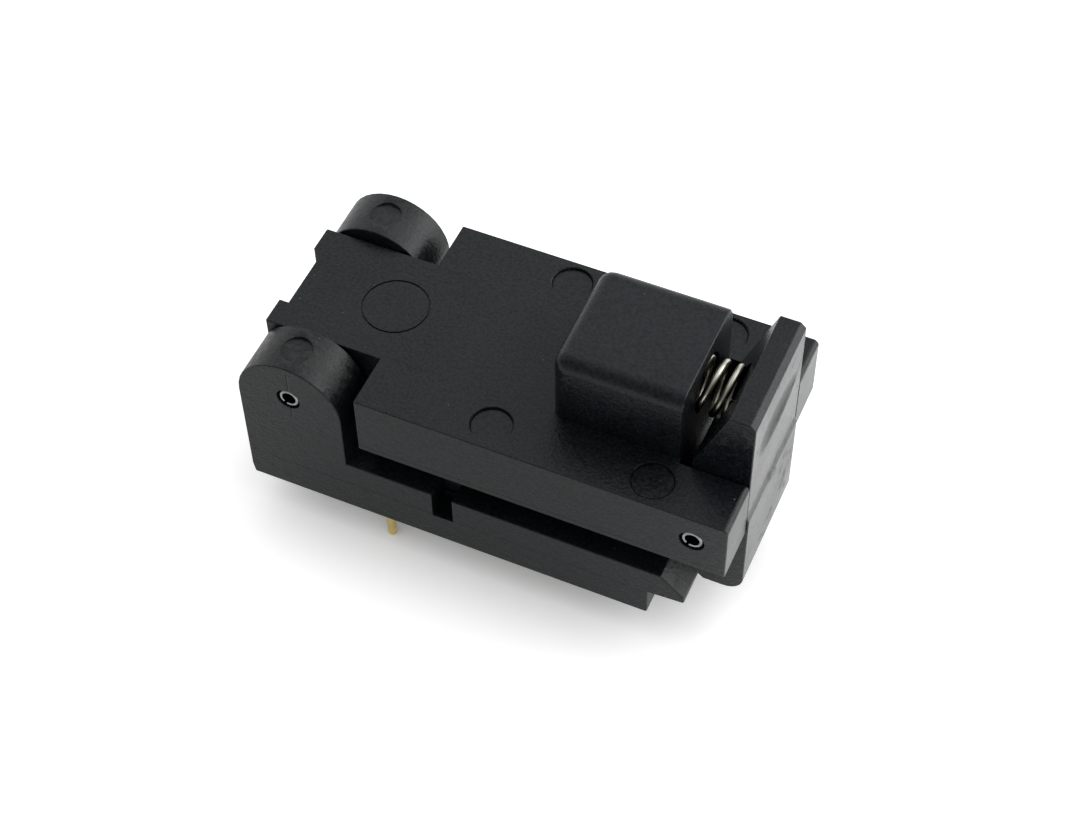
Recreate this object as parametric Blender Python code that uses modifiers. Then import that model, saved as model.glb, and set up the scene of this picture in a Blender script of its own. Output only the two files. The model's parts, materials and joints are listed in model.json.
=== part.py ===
"""Clamshell test socket for a sixteen-lead small-outline chip, with its lid shut.

Metres, +Z up. X runs from the hinge to the latch. The origin is the middle of the contact
field, on the plane that sits on the board.
"""

import math

import bmesh
import bpy
from mathutils import Vector

# Clearances and edges
FIT = 0.0001
PIN_FIT = 0.00005
SIDE_GAP = 0.0002
EDGE_ROUND = 0.00008
WELD = 0.000001
THROUGH = 0.001

# Steps of a quarter turn, and sides of a round shape
BIG_ROUND_STEPS = 9
ROUND_STEPS = 6
SMALL_ROUND_STEPS = 4
BORE_SIDES = 32
RING_SIDES = 24
HOLE_SIDES = 12

# Contacts
CONTACT_ROWS = 8
CONTACT_PITCH = 0.00127
CONTACT_WIDTH = 0.0003
CONTACT_THICKNESS = 0.00025
CONTACT_TIP_Y = 0.0027
CONTACT_TIP = 0.0042
TAIL_INNER_Y = 0.00381
TAIL_OUTER_Y = 0.00508
TAIL_REACH = 0.003
SLOT_GAP = 0.0001

# Bends of a contact, as shares of its rise above the carrier's floor
FIRST_BEND = 0.26
INNER_BEND = 0.4
OUTER_BEND = 0.62
TIP_BEND = 0.85

# Base housing
FRONT_WALL = 0.001855
EAR_OFFSET = 0.003445
RAIL_TOP = 0.00462
RAIL_WIDTH = 0.00165
BASE_FLOOR = 0.0008
LEDGE_LENGTH = 0.0024
LEDGE_WIDTH = 0.0007
FOOT_CHAMFER_WIDTH = 0.00014
FOOT_CHAMFER_HEIGHT = 0.00075
EAR_LENGTH = 0.00749
EAR_THICKNESS = 0.00365
EAR_SHOULDER = 0.00897
HINGE_ABOVE_SHOULDER = 0.00067
LIP_SHELF = 0.00081
LIP_REACH = 0.0025
LIP_EDGE_TOP = 0.00306
LIP_EDGE_LOW = 0.00249
LIP_ROOT = 0.0023
NOTCH_X = -0.00459
NOTCH_WIDTH = 0.00148
NOTCH_FLOOR = 0.00235

# Slotted roll pins
PIN_RADIUS = 0.0008
PIN_WALL = 0.0003
PIN_SLIT = 0.0003
PIN_SLIT_ANGLE = math.radians(240)
PIN_INSET = 0.0001

# Lid
EAR_GAP = 0.0011
LID_ABOVE_PINS = 0.00219
LID_THICKNESS = 0.0049
LID_END_ROUND = 0.0004
TONGUE_BEHIND_PIN = 0.003475
TAIL_THICKNESS = 0.00203
TAIL_RECESS = 0.00071
SPRING_SLOT_WIDTH = 0.00496
SPRING_SLOT_INSET = 0.0004
LATCH_INSET = 0.00229
LATCH_SLOT_LENGTH = 0.00471
LATCH_SLOT_WIDTH = 0.0091
BOX_LENGTH = 0.00877
BOX_WIDTH = 0.0086
BOX_RISE = 0.00567
BOX_ROUND = 0.001
BOX_FRONT_ROUND = 0.00015
BORE_DEPTH = 0.00605
BORE_RISE = 0.00272

# Marks that the mould leaves
MARK_DEPTH = 0.00015
EJECTOR_RADIUS = 0.00138
EJECTOR_INSET = 0.00185
EJECTOR_X = (-0.0016, 0.0093)
EAR_EJECTOR_RADIUS = 0.00107
EAR_EJECTOR_DEPTH = 0.0002
INSERT_RADIUS = 0.0023
INSERT_LINE = 0.00012
INSERT_INSET = 0.001

# Latch lever, with its rise above the lid and its drops below the latch pin
LEVER_RISE = 0.00577
LEVER_TOP_THICKNESS = 0.00174
LEVER_LOW_THICKNESS = 0.00221
LEVER_CHAMFER = 0.00038
LEVER_BOTTOM = 0.0002
LEVER_FOOT_ROUND = 0.0013
LEVER_BOSS_REACH = 0.0016
LEVER_BOSS_RISE = 0.00256
LEVER_BOSS_DROP = 0.00224
LEVER_WAIST_DROP = 0.00364
LEVER_LEDGE_DROP = 0.00124
LEVER_LEDGE_HEIGHT = 0.00045
LEVER_LEDGE_DEPTH = 0.00014
HOOK_REACH = 0.00165
HOOK_GAP = 0.0003
HOOK_THICKNESS = 0.0018
HOOK_CAM_WIDTH = 0.0013
HOOK_CAM_HEIGHT = 0.0011
SCOOP_RISE = 0.00207
SCOOP_LENGTH = 0.0072
SCOOP_WIDTH = 0.0027
SCOOP_DEPTH = 0.0003
SCOOP_BALL_DEPTH = 0.0015
SEAT_FLOOR_INSET = 0.00241

# Pitch of a compression spring's close end turns, in wire radii
CLOSE_TURN = 2.4

# Latch spring
LATCH_WIRE = 0.00025
LATCH_COIL_RADIUS = 0.00155
LATCH_COILS = 8
LATCH_COIL_GAP = 0.00025

# Hinge spring
HINGE_WIRE = 0.0002
HINGE_COIL_RADIUS = 0.00115
HINGE_COILS = 7
HINGE_COIL_LENGTH = 0.0038
HINGE_LEG = 0.0042

# Pressure pad, its springs and its retainer
RETAINER_LENGTH = 0.0152
RETAINER_WIDTH = 0.0118
RETAINER_THICKNESS = 0.0005
POCKET_LENGTH = 0.0118
POCKET_WIDTH = 0.0084
POCKET_ROOF = 0.00123
PAD_THICKNESS = 0.00107
PAD_NOSE_LENGTH = 0.0096
PAD_NOSE_WIDTH = 0.0059
PAD_ABOVE_TIPS = 0.0006
PAD_RELIEF_WIDTH = 0.0042
PAD_RELIEF_DEPTH = 0.0012
PAD_SPRING_X = 0.003
PAD_SPRING_SEAT = 0.0005
PAD_WIRE = 0.000125
PAD_COIL_RADIUS = 0.0008
PAD_COILS = 4
SCREW_END_INSET = 0.0008
SCREW_SIDE_INSET = 0.0009
SCREW_RADIUS = 0.0005
SCREW_LENGTH = 0.0025
SCREW_HEAD_RADIUS = 0.0008
SCREW_HEAD_THICKNESS = 0.0004
SCREW_DRIVE_WIDTH = 0.00025
SCREW_DRIVE_DEPTH = 0.0002

# Contact carrier and device nest
CARRIER_TOP = 0.003
CARRIER_FLOOR = 0.0007
NEST_THICKNESS = 0.0019
NEST_FLOOR = 0.0008
FOOT_END_WALL = 0.0009
FOOT_WALL = 0.00022
DEVICE_LENGTH = 0.0102
DEVICE_WIDTH = 0.0062
LEAD_IN = 0.0004
PEG_END_INSET = 0.0011
PEG_SIDE_INSET = 0.001
PEG_RADIUS = 0.0005

# Index pin
INDEX_END_OFFSET = 0.001
INDEX_SIDE_INSET = 0.00095
INDEX_RADIUS = 0.00032
INDEX_DEPTH = 0.0015

# Places that follow from the sizes, from the contact field outwards
CONTACT_X = [(i - (CONTACT_ROWS - 1) / 2) * CONTACT_PITCH for i in range(CONTACT_ROWS)]
HALF_SLOT = CONTACT_WIDTH / 2 + SLOT_GAP
CHANNEL_INNER = CONTACT_TIP_Y - 2 * CONTACT_THICKNESS
CHANNEL_OUTER = TAIL_OUTER_Y + 2 * CONTACT_THICKNESS
WINDOW_LENGTH = 2 * (CONTACT_X[-1] + HALF_SLOT + FOOT_END_WALL + FIT)
WINDOW_WIDTH = 2 * (CHANNEL_OUTER + FOOT_WALL + FIT)
CAVITY_LENGTH = WINDOW_LENGTH + 2 * LEDGE_LENGTH
CAVITY_WIDTH = WINDOW_WIDTH + 2 * LEDGE_WIDTH
HALF_WIDTH = CAVITY_WIDTH / 2 + RAIL_WIDTH
PEG_X = CAVITY_LENGTH / 2 - PEG_END_INSET
PEG_Y = CAVITY_WIDTH / 2 - PEG_SIDE_INSET
INDEX_X = -CAVITY_LENGTH / 2 - INDEX_END_OFFSET
INDEX_Y = INDEX_SIDE_INSET - HALF_WIDTH
BASE_FRONT = CAVITY_LENGTH / 2 + FRONT_WALL
LIP_END = BASE_FRONT + LIP_REACH
HINGE_END = -CAVITY_LENGTH / 2 - EAR_OFFSET - EAR_LENGTH
EAR_RADIUS = EAR_LENGTH / 2
EAR_Y = HALF_WIDTH - EAR_THICKNESS / 2
EAR_INNER = HALF_WIDTH - EAR_THICKNESS
HINGE_X = HINGE_END + EAR_RADIUS
HINGE_Z = EAR_SHOULDER + HINGE_ABOVE_SHOULDER
LID_START = HINGE_X + EAR_RADIUS + EAR_GAP
LID_END = LIP_END + HOOK_GAP + LEVER_LOW_THICKNESS
LID_TOP = HINGE_Z + LID_ABOVE_PINS
LID_UNDER = LID_TOP - LID_THICKNESS
TONGUE_TAIL = HINGE_X - TONGUE_BEHIND_PIN
SPRING_SLOT_TOP = HINGE_Z + HINGE_COIL_RADIUS + HINGE_WIRE + FIT
SPRING_SLOT_END = LID_START - SPRING_SLOT_INSET
LATCH_X = LID_END - LATCH_INSET
LATCH_Z = HINGE_Z
SLOT_START = LID_END - LATCH_SLOT_LENGTH
BOX_TOP = LID_TOP + BOX_RISE
BORE_HEIGHT = LID_TOP + BORE_RISE
BORE_START = SLOT_START - BORE_DEPTH
BORE_RADIUS = LATCH_COIL_RADIUS + LATCH_WIRE + LATCH_COIL_GAP
SEAT_FLOOR = LID_END - SEAT_FLOOR_INSET
LEVER_TOP = LID_TOP + LEVER_RISE
RETAINER_TOP = LID_UNDER + RETAINER_THICKNESS
SCREW_X = RETAINER_LENGTH / 2 - SCREW_END_INSET
SCREW_Y = RETAINER_WIDTH / 2 - SCREW_SIDE_INSET
POCKET_TOP = LID_TOP - POCKET_ROOF
PAD_LOW = RETAINER_TOP + FIT
PAD_TOP = PAD_LOW + PAD_THICKNESS
PAD_NOSE_LOW = CONTACT_TIP + PAD_ABOVE_TIPS
NEST_BOTTOM = CARRIER_TOP + FIT
CORNERS = [(x, y) for x in (-1, 1) for y in (-1, 1)]

# Colour, roughness and metallic value of each material
MATERIALS = {
    "moulded_black": ((0.022, 0.023, 0.026, 1.0), 0.55, 0.0),
    "spring_steel": ((0.56, 0.55, 0.52, 1.0), 0.25, 1.0),
    "contact_gold": ((0.72, 0.53, 0.22, 1.0), 0.3, 1.0),
    "screw_steel": ((0.35, 0.35, 0.36, 1.0), 0.35, 1.0),
}


def clear_scene():
    for obj in list(bpy.data.objects):
        bpy.data.objects.remove(obj)


def add_collection(name):
    made = bpy.data.collections.new(name)
    bpy.context.scene.collection.children.link(made)
    return made


def add_materials():
    for name, (colour, roughness, metallic) in MATERIALS.items():
        made = bpy.data.materials.new(name)
        made.use_nodes = True
        shader = made.node_tree.nodes["Principled BSDF"]
        shader.inputs["Base Color"].default_value = colour
        shader.inputs["Roughness"].default_value = roughness
        shader.inputs["Metallic"].default_value = metallic


clear_scene()
PARTS = add_collection("ic_test_socket")
CUTTERS = add_collection("socket_cutters")
add_materials()


# Shapes that the pieces are made from


def add_object(name, data, where=None):
    obj = bpy.data.objects.new(name, data)
    (where or CUTTERS).objects.link(obj)
    return obj


def from_bmesh(name, shape):
    mesh = bpy.data.meshes.new(name)
    shape.to_mesh(mesh)
    shape.free()
    return add_object(name, mesh)


def block(name, low, high, flare=0.0):
    """A rectangular block between two corners. Its top is wider by flare on each side."""
    low = Vector(low)
    high = Vector(high)
    shape = bmesh.new()
    bmesh.ops.create_cube(shape, size=1.0)
    bmesh.ops.scale(shape, vec=high - low, verts=shape.verts)
    for vert in shape.verts:
        if vert.co.z > 0:
            vert.co.x += math.copysign(flare, vert.co.x)
            vert.co.y += math.copysign(flare, vert.co.y)
    made = from_bmesh(name, shape)
    made.location = (low + high) / 2
    return made


def blocks(name, corners):
    """Separate blocks in one object, for cutting a pattern."""
    shape = bmesh.new()
    for low, high in corners:
        low = Vector(low)
        high = Vector(high)
        verts = bmesh.ops.create_cube(shape, size=1.0)["verts"]
        bmesh.ops.scale(shape, vec=high - low, verts=verts)
        bmesh.ops.translate(shape, vec=(low + high) / 2, verts=verts)
    return from_bmesh(name, shape)


def rod(name, start, end, radius, sides=BORE_SIDES):
    """A round rod between the middles of its two ends."""
    start = Vector(start)
    end = Vector(end)
    shape = bmesh.new()
    bmesh.ops.create_cone(
        shape,
        cap_ends=True,
        segments=sides,
        radius1=radius,
        radius2=radius,
        depth=(end - start).length,
    )
    made = from_bmesh(name, shape)
    made.location = (start + end) / 2
    made.rotation_euler = (end - start).to_track_quat("Z", "Y").to_euler()
    return made


def arc(centre, radius, first, last, steps):
    """Points from one angle to the other, given in degrees."""
    angles = [math.radians(first + (last - first) * i / steps) for i in range(steps + 1)]
    return [(centre[0] + radius * math.cos(a), centre[1] + radius * math.sin(a)) for a in angles]


def mesh_of(curve):
    """The curve object's own surface as a mesh object in its place, with its caps welded."""
    bpy.context.view_layer.update()
    graph = bpy.context.evaluated_depsgraph_get()
    mesh = bpy.data.meshes.new_from_object(curve.evaluated_get(graph))
    shape = bmesh.new()
    shape.from_mesh(mesh)
    bmesh.ops.remove_doubles(shape, verts=shape.verts, dist=WELD)
    flat = math.radians(0.5)
    bmesh.ops.dissolve_limit(shape, angle_limit=flat, verts=shape.verts, edges=shape.edges)
    bmesh.ops.recalc_face_normals(shape, faces=shape.faces)
    shape.to_mesh(mesh)
    shape.free()
    name = curve.name
    place = curve.matrix_world.copy()
    bpy.data.objects.remove(curve)
    made = add_object(name, mesh)
    made.matrix_world = place
    return made


def flat_curve(name, outlines, thickness):
    data = bpy.data.curves.new(name, "CURVE")
    data.dimensions = "2D"
    data.fill_mode = "BOTH"
    data.extrude = thickness / 2
    for outline in outlines:
        spline = data.splines.new("POLY")
        spline.points.add(len(outline) - 1)
        for point, (across, up) in zip(spline.points, outline):
            point.co = (across, up, 0, 1)
        spline.use_cyclic_u = True
    return add_object(name, data)


def side_plate(name, outlines, low, high):
    """Outlines in X and Z, as thick as from low to high in Y. Its own Z axis points to -Y."""
    curve = flat_curve(name, outlines, high - low)
    curve.location = (0, (low + high) / 2, 0)
    curve.rotation_euler = (math.pi / 2, 0, 0)
    return mesh_of(curve)


def level_plate(name, outlines, low, high):
    """Outlines in X and Y, as thick as from low to high in Z."""
    curve = flat_curve(name, outlines, high - low)
    curve.location = (0, 0, (low + high) / 2)
    return mesh_of(curve)


def rectangle(length, width):
    return [(x * length / 2, y * width / 2) for x, y in ((-1, -1), (1, -1), (1, 1), (-1, 1))]


def circle(centre, radius, sides=RING_SIDES):
    return arc(centre, radius, 0, 360 * (sides - 1) / sides, sides - 1)


def wire(name, points, radius):
    """A round wire through the points."""
    data = bpy.data.curves.new(name, "CURVE")
    data.dimensions = "3D"
    data.bevel_depth = radius
    data.bevel_resolution = 2
    data.use_fill_caps = True
    spline = data.splines.new("POLY")
    spline.points.add(len(points) - 1)
    for point, place in zip(spline.points, points):
        point.co = (*place, 1)
    spline.use_smooth = True
    return add_object(name, data)


def turned(name, profile, sides):
    """A shape turned about its own Z axis from (radius, height) points, top to bottom."""
    mesh = bpy.data.meshes.new(name)
    edges = [(i, i + 1) for i in range(len(profile) - 1)]
    mesh.from_pydata([(r, 0, z) for r, z in profile], edges, [])
    made = add_object(name, mesh)
    turn = made.modifiers.new("turn", "SCREW")
    turn.steps = sides
    turn.render_steps = sides
    turn.use_merge_vertices = True
    turn.merge_threshold = WELD
    return made


# Changes to a shape


def combine(body, other, operation):
    """A Boolean whose other shape stays hidden and moves with the body."""
    other.parent = body
    other.matrix_parent_inverse = body.matrix_basis.inverted()
    other.hide_render = True
    other.display_type = "WIRE"
    step = body.modifiers.new(other.name, "BOOLEAN")
    step.operation = operation
    step.object = other


def cut(body, other):
    combine(body, other, "DIFFERENCE")


def join(body, other):
    combine(body, other, "UNION")


def round_edges(body, width, segments=1):
    step = body.modifiers.new("edges", "BEVEL")
    step.width = width
    step.segments = segments
    step.limit_method = "ANGLE"
    step.angle_limit = math.radians(40)


def mirror_near_half(body):
    """Replaces the far half of a side plate by the mirror image of its near half."""
    step = body.modifiers.new("far half", "MIRROR")
    step.use_axis = (False, False, True)
    step.use_bisect_axis = (False, False, True)
    step.merge_threshold = WELD


def add_frame(name, place, parent=None):
    """An empty on a joint's axis that carries the pieces of one moving body."""
    frame = add_object(name, None, PARTS)
    frame.empty_display_size = HALF_WIDTH
    frame.location = place
    if parent:
        frame.parent = parent
        frame.matrix_parent_inverse = parent.matrix_world.inverted()
    bpy.context.view_layer.update()
    return frame


def finish(piece, material, frame):
    """Gives a finished piece its material and places it on its body's frame."""
    CUTTERS.objects.unlink(piece)
    PARTS.objects.link(piece)
    piece.data.materials.append(bpy.data.materials[material])
    if piece.type == "MESH":
        piece.data.shade_smooth()
        piece.data.set_sharp_from_angle(angle=math.radians(35))
    piece.parent = frame
    piece.matrix_parent_inverse = frame.matrix_world.inverted()
    return piece


# Base


def ear_plate():
    """One hinge ear: upright sides under a round top."""
    centre = (HINGE_X, EAR_SHOULDER)
    foot = RAIL_TOP / 2
    outline = [(HINGE_X - EAR_RADIUS, foot), (HINGE_X + EAR_RADIUS, foot)]
    outline += arc(centre, EAR_RADIUS, 0, 180, 2 * BIG_ROUND_STEPS)
    ear = side_plate("base_ear", [outline], -HALF_WIDTH, -EAR_INNER)
    round_edges(ear, EDGE_ROUND)
    return ear


def make_base(frame):
    outline = [
        (HINGE_END + FOOT_CHAMFER_WIDTH, 0),
        (BASE_FRONT, 0),
        (BASE_FRONT, LIP_ROOT),
        (LIP_END, LIP_EDGE_LOW),
        (LIP_END, LIP_EDGE_TOP),
        (BASE_FRONT + LIP_SHELF, RAIL_TOP),
        (HINGE_END, RAIL_TOP),
        (HINGE_END, FOOT_CHAMFER_HEIGHT),
    ]
    base = side_plate("base_housing", [outline], -HALF_WIDTH, HALF_WIDTH)
    round_edges(base, EDGE_ROUND)
    join(base, ear_plate())
    cavity_low = (-CAVITY_LENGTH / 2, -CAVITY_WIDTH / 2, BASE_FLOOR)
    cavity_high = (CAVITY_LENGTH / 2, CAVITY_WIDTH / 2, RAIL_TOP + THROUGH)
    cut(base, block("base_cavity", cavity_low, cavity_high))
    window_low = (-WINDOW_LENGTH / 2, -WINDOW_WIDTH / 2, -THROUGH)
    window_high = (WINDOW_LENGTH / 2, WINDOW_WIDTH / 2, BASE_FLOOR + THROUGH)
    cut(base, block("base_window", window_low, window_high))
    pin_start = (HINGE_X, -HALF_WIDTH - THROUGH, HINGE_Z)
    pin_end = (HINGE_X, -EAR_INNER + THROUGH, HINGE_Z)
    cut(base, rod("ear_pin_hole", pin_start, pin_end, PIN_RADIUS + PIN_FIT))
    mark = EAR_SHOULDER + EAR_RADIUS - EAR_EJECTOR_DEPTH
    mark_end = (HINGE_X, -EAR_Y, mark + THROUGH)
    cut(base, rod("ear_ejector", (HINGE_X, -EAR_Y, mark), mark_end, EAR_EJECTOR_RADIUS))
    for side in (-1, 1):
        low = (side * PEG_X, -PEG_Y, -THROUGH)
        high = (side * PEG_X, -PEG_Y, BASE_FLOOR + THROUGH)
        cut(base, rod("base_peg_hole", low, high, PEG_RADIUS + FIT, HOLE_SIDES))
    mirror_near_half(base)
    notch_low = (NOTCH_X - NOTCH_WIDTH / 2, -HALF_WIDTH - THROUGH, NOTCH_FLOOR)
    notch_high = (NOTCH_X + NOTCH_WIDTH / 2, -CAVITY_WIDTH / 2 + THROUGH, RAIL_TOP + THROUGH)
    cut(base, block("rail_notch", notch_low, notch_high))
    index_low = (INDEX_X, INDEX_Y, -THROUGH)
    index_high = (INDEX_X, INDEX_Y, INDEX_DEPTH + FIT)
    cut(base, rod("index_hole", index_low, index_high, INDEX_RADIUS + PIN_FIT, HOLE_SIDES))
    finish(base, "moulded_black", frame)


def make_roll_pin(name, x, z, frame):
    """A pin rolled from strip, with a slit along it and a bore through it."""
    half_slit = math.degrees(math.asin(PIN_SLIT / 2 / PIN_RADIUS))
    start = math.degrees(PIN_SLIT_ANGLE) + half_slit
    end = math.degrees(PIN_SLIT_ANGLE) + 360 - half_slit
    outline = arc((x, z), PIN_RADIUS, start, end, 4 * ROUND_STEPS)
    outline += arc((x, z), PIN_RADIUS - PIN_WALL, end, start, 4 * ROUND_STEPS)
    reach = HALF_WIDTH - PIN_INSET
    finish(side_plate(name, [outline], -reach, reach), "spring_steel", frame)


def make_hinge_spring(frame):
    """A torsion spring round the hinge pin: one leg under the lid's web, one on the base."""
    centre = Vector((HINGE_X, 0, HINGE_Z))
    rest = Vector((SPRING_SLOT_END - FIT - HINGE_WIRE, 0, RAIL_TOP + FIT + HINGE_WIRE))
    toward = rest - centre
    lean = math.acos(HINGE_COIL_RADIUS / toward.length)
    start = math.atan2(toward.z, toward.x) - lean
    sweep = start - math.pi / 2 + 2 * math.pi * HINGE_COILS
    steps = HOLE_SIDES * HINGE_COILS
    points = [rest + Vector((0, HINGE_COIL_LENGTH / 2, 0))]
    for i in range(steps + 1):
        angle = start - sweep * i / steps
        along = HINGE_COIL_LENGTH * (0.5 - i / steps)
        offset = Vector((math.cos(angle), 0, math.sin(angle))) * HINGE_COIL_RADIUS
        points.append(centre + offset + Vector((0, along, 0)))
    points.append(points[-1] + Vector((HINGE_LEG, 0, 0)))
    finish(wire("hinge_spring", points, HINGE_WIRE), "spring_steel", frame)


# Lid


def tongue_plate():
    """The hinge tongue: a barrel round the pin and a tail behind it, level with the lid's top."""
    tail_low = LID_TOP - TAIL_THICKNESS
    reach = math.degrees(math.asin((tail_low - HINGE_Z) / LID_ABOVE_PINS))
    outline = [(LID_START + THROUGH, LID_TOP), (TONGUE_TAIL, LID_TOP), (TONGUE_TAIL, tail_low)]
    outline += arc((HINGE_X, HINGE_Z), LID_ABOVE_PINS, 180 - reach, 270, 2 * ROUND_STEPS)
    outline.append((LID_START + THROUGH, HINGE_Z - LID_ABOVE_PINS))
    half = EAR_INNER - SIDE_GAP
    tongue = side_plate("lid_tongue", [outline], -half, half)
    round_edges(tongue, EDGE_ROUND)
    return tongue


def spring_box():
    """A box with round edges, cut off square in front of the lever."""
    half = BOX_WIDTH / 2
    low = (SLOT_START - BOX_LENGTH, -half, LID_TOP - BOX_ROUND)
    box = block("spring_box", low, (SLOT_START + 2 * BOX_ROUND, half, BOX_TOP))
    round_edges(box, BOX_ROUND, SMALL_ROUND_STEPS)
    front_low = (SLOT_START, -HALF_WIDTH, LID_UNDER)
    front_high = (SLOT_START + 3 * BOX_ROUND, HALF_WIDTH, BOX_TOP + THROUGH)
    cut(box, block("box_front", front_low, front_high))
    round_edges(box, BOX_FRONT_ROUND)
    return box


def make_lid(frame):
    corner = (LID_END - LID_END_ROUND, LID_TOP - LID_END_ROUND)
    outline = [(LID_START, LID_UNDER), (LID_END, LID_UNDER)]
    outline += arc(corner, LID_END_ROUND, 0, 90, SMALL_ROUND_STEPS)
    outline.append((LID_START, LID_TOP))
    lid = side_plate("lid", [outline], -HALF_WIDTH, HALF_WIDTH)
    round_edges(lid, EDGE_ROUND)
    join(lid, tongue_plate())
    join(lid, spring_box())
    cut_hinge_slot(lid)
    cut_latch_slot(lid)
    cut_pad_pocket(lid)
    cut_marks(lid)
    mirror_near_half(lid)
    bore_end = (SLOT_START + THROUGH, 0, BORE_HEIGHT)
    cut(lid, rod("spring_bore", (BORE_START, 0, BORE_HEIGHT), bore_end, BORE_RADIUS))
    insert = (LID_START - INSERT_INSET, 0)
    ring = [circle(insert, INSERT_RADIUS), circle(insert, INSERT_RADIUS - INSERT_LINE)]
    cut(lid, level_plate("insert_line", ring, LID_TOP - MARK_DEPTH, LID_TOP + THROUGH))
    finish(lid, "moulded_black", frame)


def cut_hinge_slot(lid):
    """The slot for the hinge spring, the recess between the tail tabs and the pin's bore."""
    behind = TONGUE_TAIL - THROUGH
    below = LID_UNDER - THROUGH
    half = SPRING_SLOT_WIDTH / 2
    slot_high = (SPRING_SLOT_END, half, SPRING_SLOT_TOP)
    cut(lid, block("hinge_spring_slot", (behind, -half, below), slot_high))
    recess_high = (TONGUE_TAIL + TAIL_RECESS, half, LID_TOP + THROUGH)
    cut(lid, block("tail_recess", (behind, -half, below), recess_high))
    bore_start = (HINGE_X, -EAR_INNER - THROUGH, HINGE_Z)
    bore_end = (HINGE_X, EAR_INNER + THROUGH, HINGE_Z)
    cut(lid, rod("hinge_bore", bore_start, bore_end, PIN_RADIUS + FIT))


def cut_latch_slot(lid):
    """The slot for the lever, and the pin's holes in the ears beside it."""
    half = LATCH_SLOT_WIDTH / 2
    slot_low = (SLOT_START, -half, LID_UNDER - THROUGH)
    slot_high = (LID_END + THROUGH, half, LID_TOP + THROUGH)
    cut(lid, block("latch_slot", slot_low, slot_high))
    hole_start = (LATCH_X, -HALF_WIDTH - THROUGH, LATCH_Z)
    hole_end = (LATCH_X, HALF_WIDTH + THROUGH, LATCH_Z)
    cut(lid, rod("latch_pin_hole", hole_start, hole_end, PIN_RADIUS + PIN_FIT))


def cut_pad_pocket(lid):
    """The pocket that the pad floats in, the retainer's recess and the screw holes."""
    below = LID_UNDER - THROUGH
    pocket_low = (-POCKET_LENGTH / 2, -POCKET_WIDTH / 2, below)
    pocket_high = (POCKET_LENGTH / 2, POCKET_WIDTH / 2, POCKET_TOP)
    cut(lid, block("pad_pocket", pocket_low, pocket_high))
    recess_low = (-RETAINER_LENGTH / 2 - FIT, -RETAINER_WIDTH / 2 - FIT, below)
    recess_high = (RETAINER_LENGTH / 2 + FIT, RETAINER_WIDTH / 2 + FIT, RETAINER_TOP + FIT)
    cut(lid, block("retainer_recess", recess_low, recess_high))
    for side in (-1, 1):
        low = (side * SCREW_X, -SCREW_Y, LID_UNDER)
        high = (side * SCREW_X, -SCREW_Y, LID_UNDER + SCREW_LENGTH + FIT)
        cut(lid, rod("lid_screw_hole", low, high, SCREW_RADIUS + PIN_FIT, HOLE_SIDES))


def cut_marks(lid):
    """The round marks of the ejector pins on the lid's top."""
    for x in EJECTOR_X:
        y = EJECTOR_INSET - HALF_WIDTH
        low = (x, y, LID_TOP - MARK_DEPTH)
        cut(lid, rod("lid_ejector", low, (x, y, LID_TOP + THROUGH), EJECTOR_RADIUS))


# Latch


def lever_outline():
    """The lever from its thumb end down its outer face, round the hook and up its inner face."""
    face = LID_END
    low_face = face + LEVER_LEDGE_DEPTH
    ledge = LATCH_Z - LEVER_LEDGE_DROP
    foot = (low_face - LEVER_FOOT_ROUND, LEVER_BOTTOM + LEVER_FOOT_ROUND)
    boss = LATCH_X - LEVER_BOSS_REACH
    back = LIP_END + HOOK_GAP
    tip = back - HOOK_REACH
    hook_top = LEVER_BOTTOM + HOOK_THICKNESS
    outline = [
        (face - LEVER_TOP_THICKNESS, LEVER_TOP),
        (face - LEVER_CHAMFER, LEVER_TOP),
        (face, LEVER_TOP - LEVER_CHAMFER),
        (face, ledge),
        (low_face, ledge - LEVER_LEDGE_HEIGHT),
    ]
    outline += arc(foot, LEVER_FOOT_ROUND, 0, -90, ROUND_STEPS)
    outline += [
        (tip + HOOK_CAM_WIDTH, LEVER_BOTTOM),
        (tip, LEVER_BOTTOM + HOOK_CAM_HEIGHT),
        (tip, hook_top),
        (back, hook_top),
        (back, LATCH_Z - LEVER_WAIST_DROP),
        (boss, LATCH_Z - LEVER_BOSS_DROP),
        (boss, LATCH_Z + LEVER_BOSS_RISE),
    ]
    return outline


def scoop():
    """A long soft hollow for the thumb: a stretched ball whose cap dips into the outer face."""
    cap = math.sqrt(1 - (1 - SCOOP_DEPTH / SCOOP_BALL_DEPTH) ** 2)
    size = Vector((SCOOP_BALL_DEPTH, SCOOP_LENGTH / 2 / cap, SCOOP_WIDTH / 2 / cap))
    shape = bmesh.new()
    bmesh.ops.create_uvsphere(shape, u_segments=BORE_SIDES, v_segments=RING_SIDES, radius=1.0)
    bmesh.ops.scale(shape, vec=size, verts=shape.verts)
    made = from_bmesh("thumb_scoop", shape)
    made.location = (LID_END + SCOOP_BALL_DEPTH - SCOOP_DEPTH, 0, LID_TOP + SCOOP_RISE)
    return made


def make_lever(frame):
    half = LATCH_SLOT_WIDTH / 2 - FIT
    lever = side_plate("latch_lever", [lever_outline()], -half, half)
    round_edges(lever, EDGE_ROUND, 2)
    bore_start = (LATCH_X, -HALF_WIDTH, LATCH_Z)
    bore_end = (LATCH_X, HALF_WIDTH, LATCH_Z)
    cut(lever, rod("lever_bore", bore_start, bore_end, PIN_RADIUS + FIT))
    seat_start = (SLOT_START, 0, BORE_HEIGHT)
    seat_end = (SEAT_FLOOR, 0, BORE_HEIGHT)
    cut(lever, rod("lever_spring_seat", seat_start, seat_end, BORE_RADIUS))
    cut(lever, scoop())
    finish(lever, "moulded_black", frame)


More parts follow.
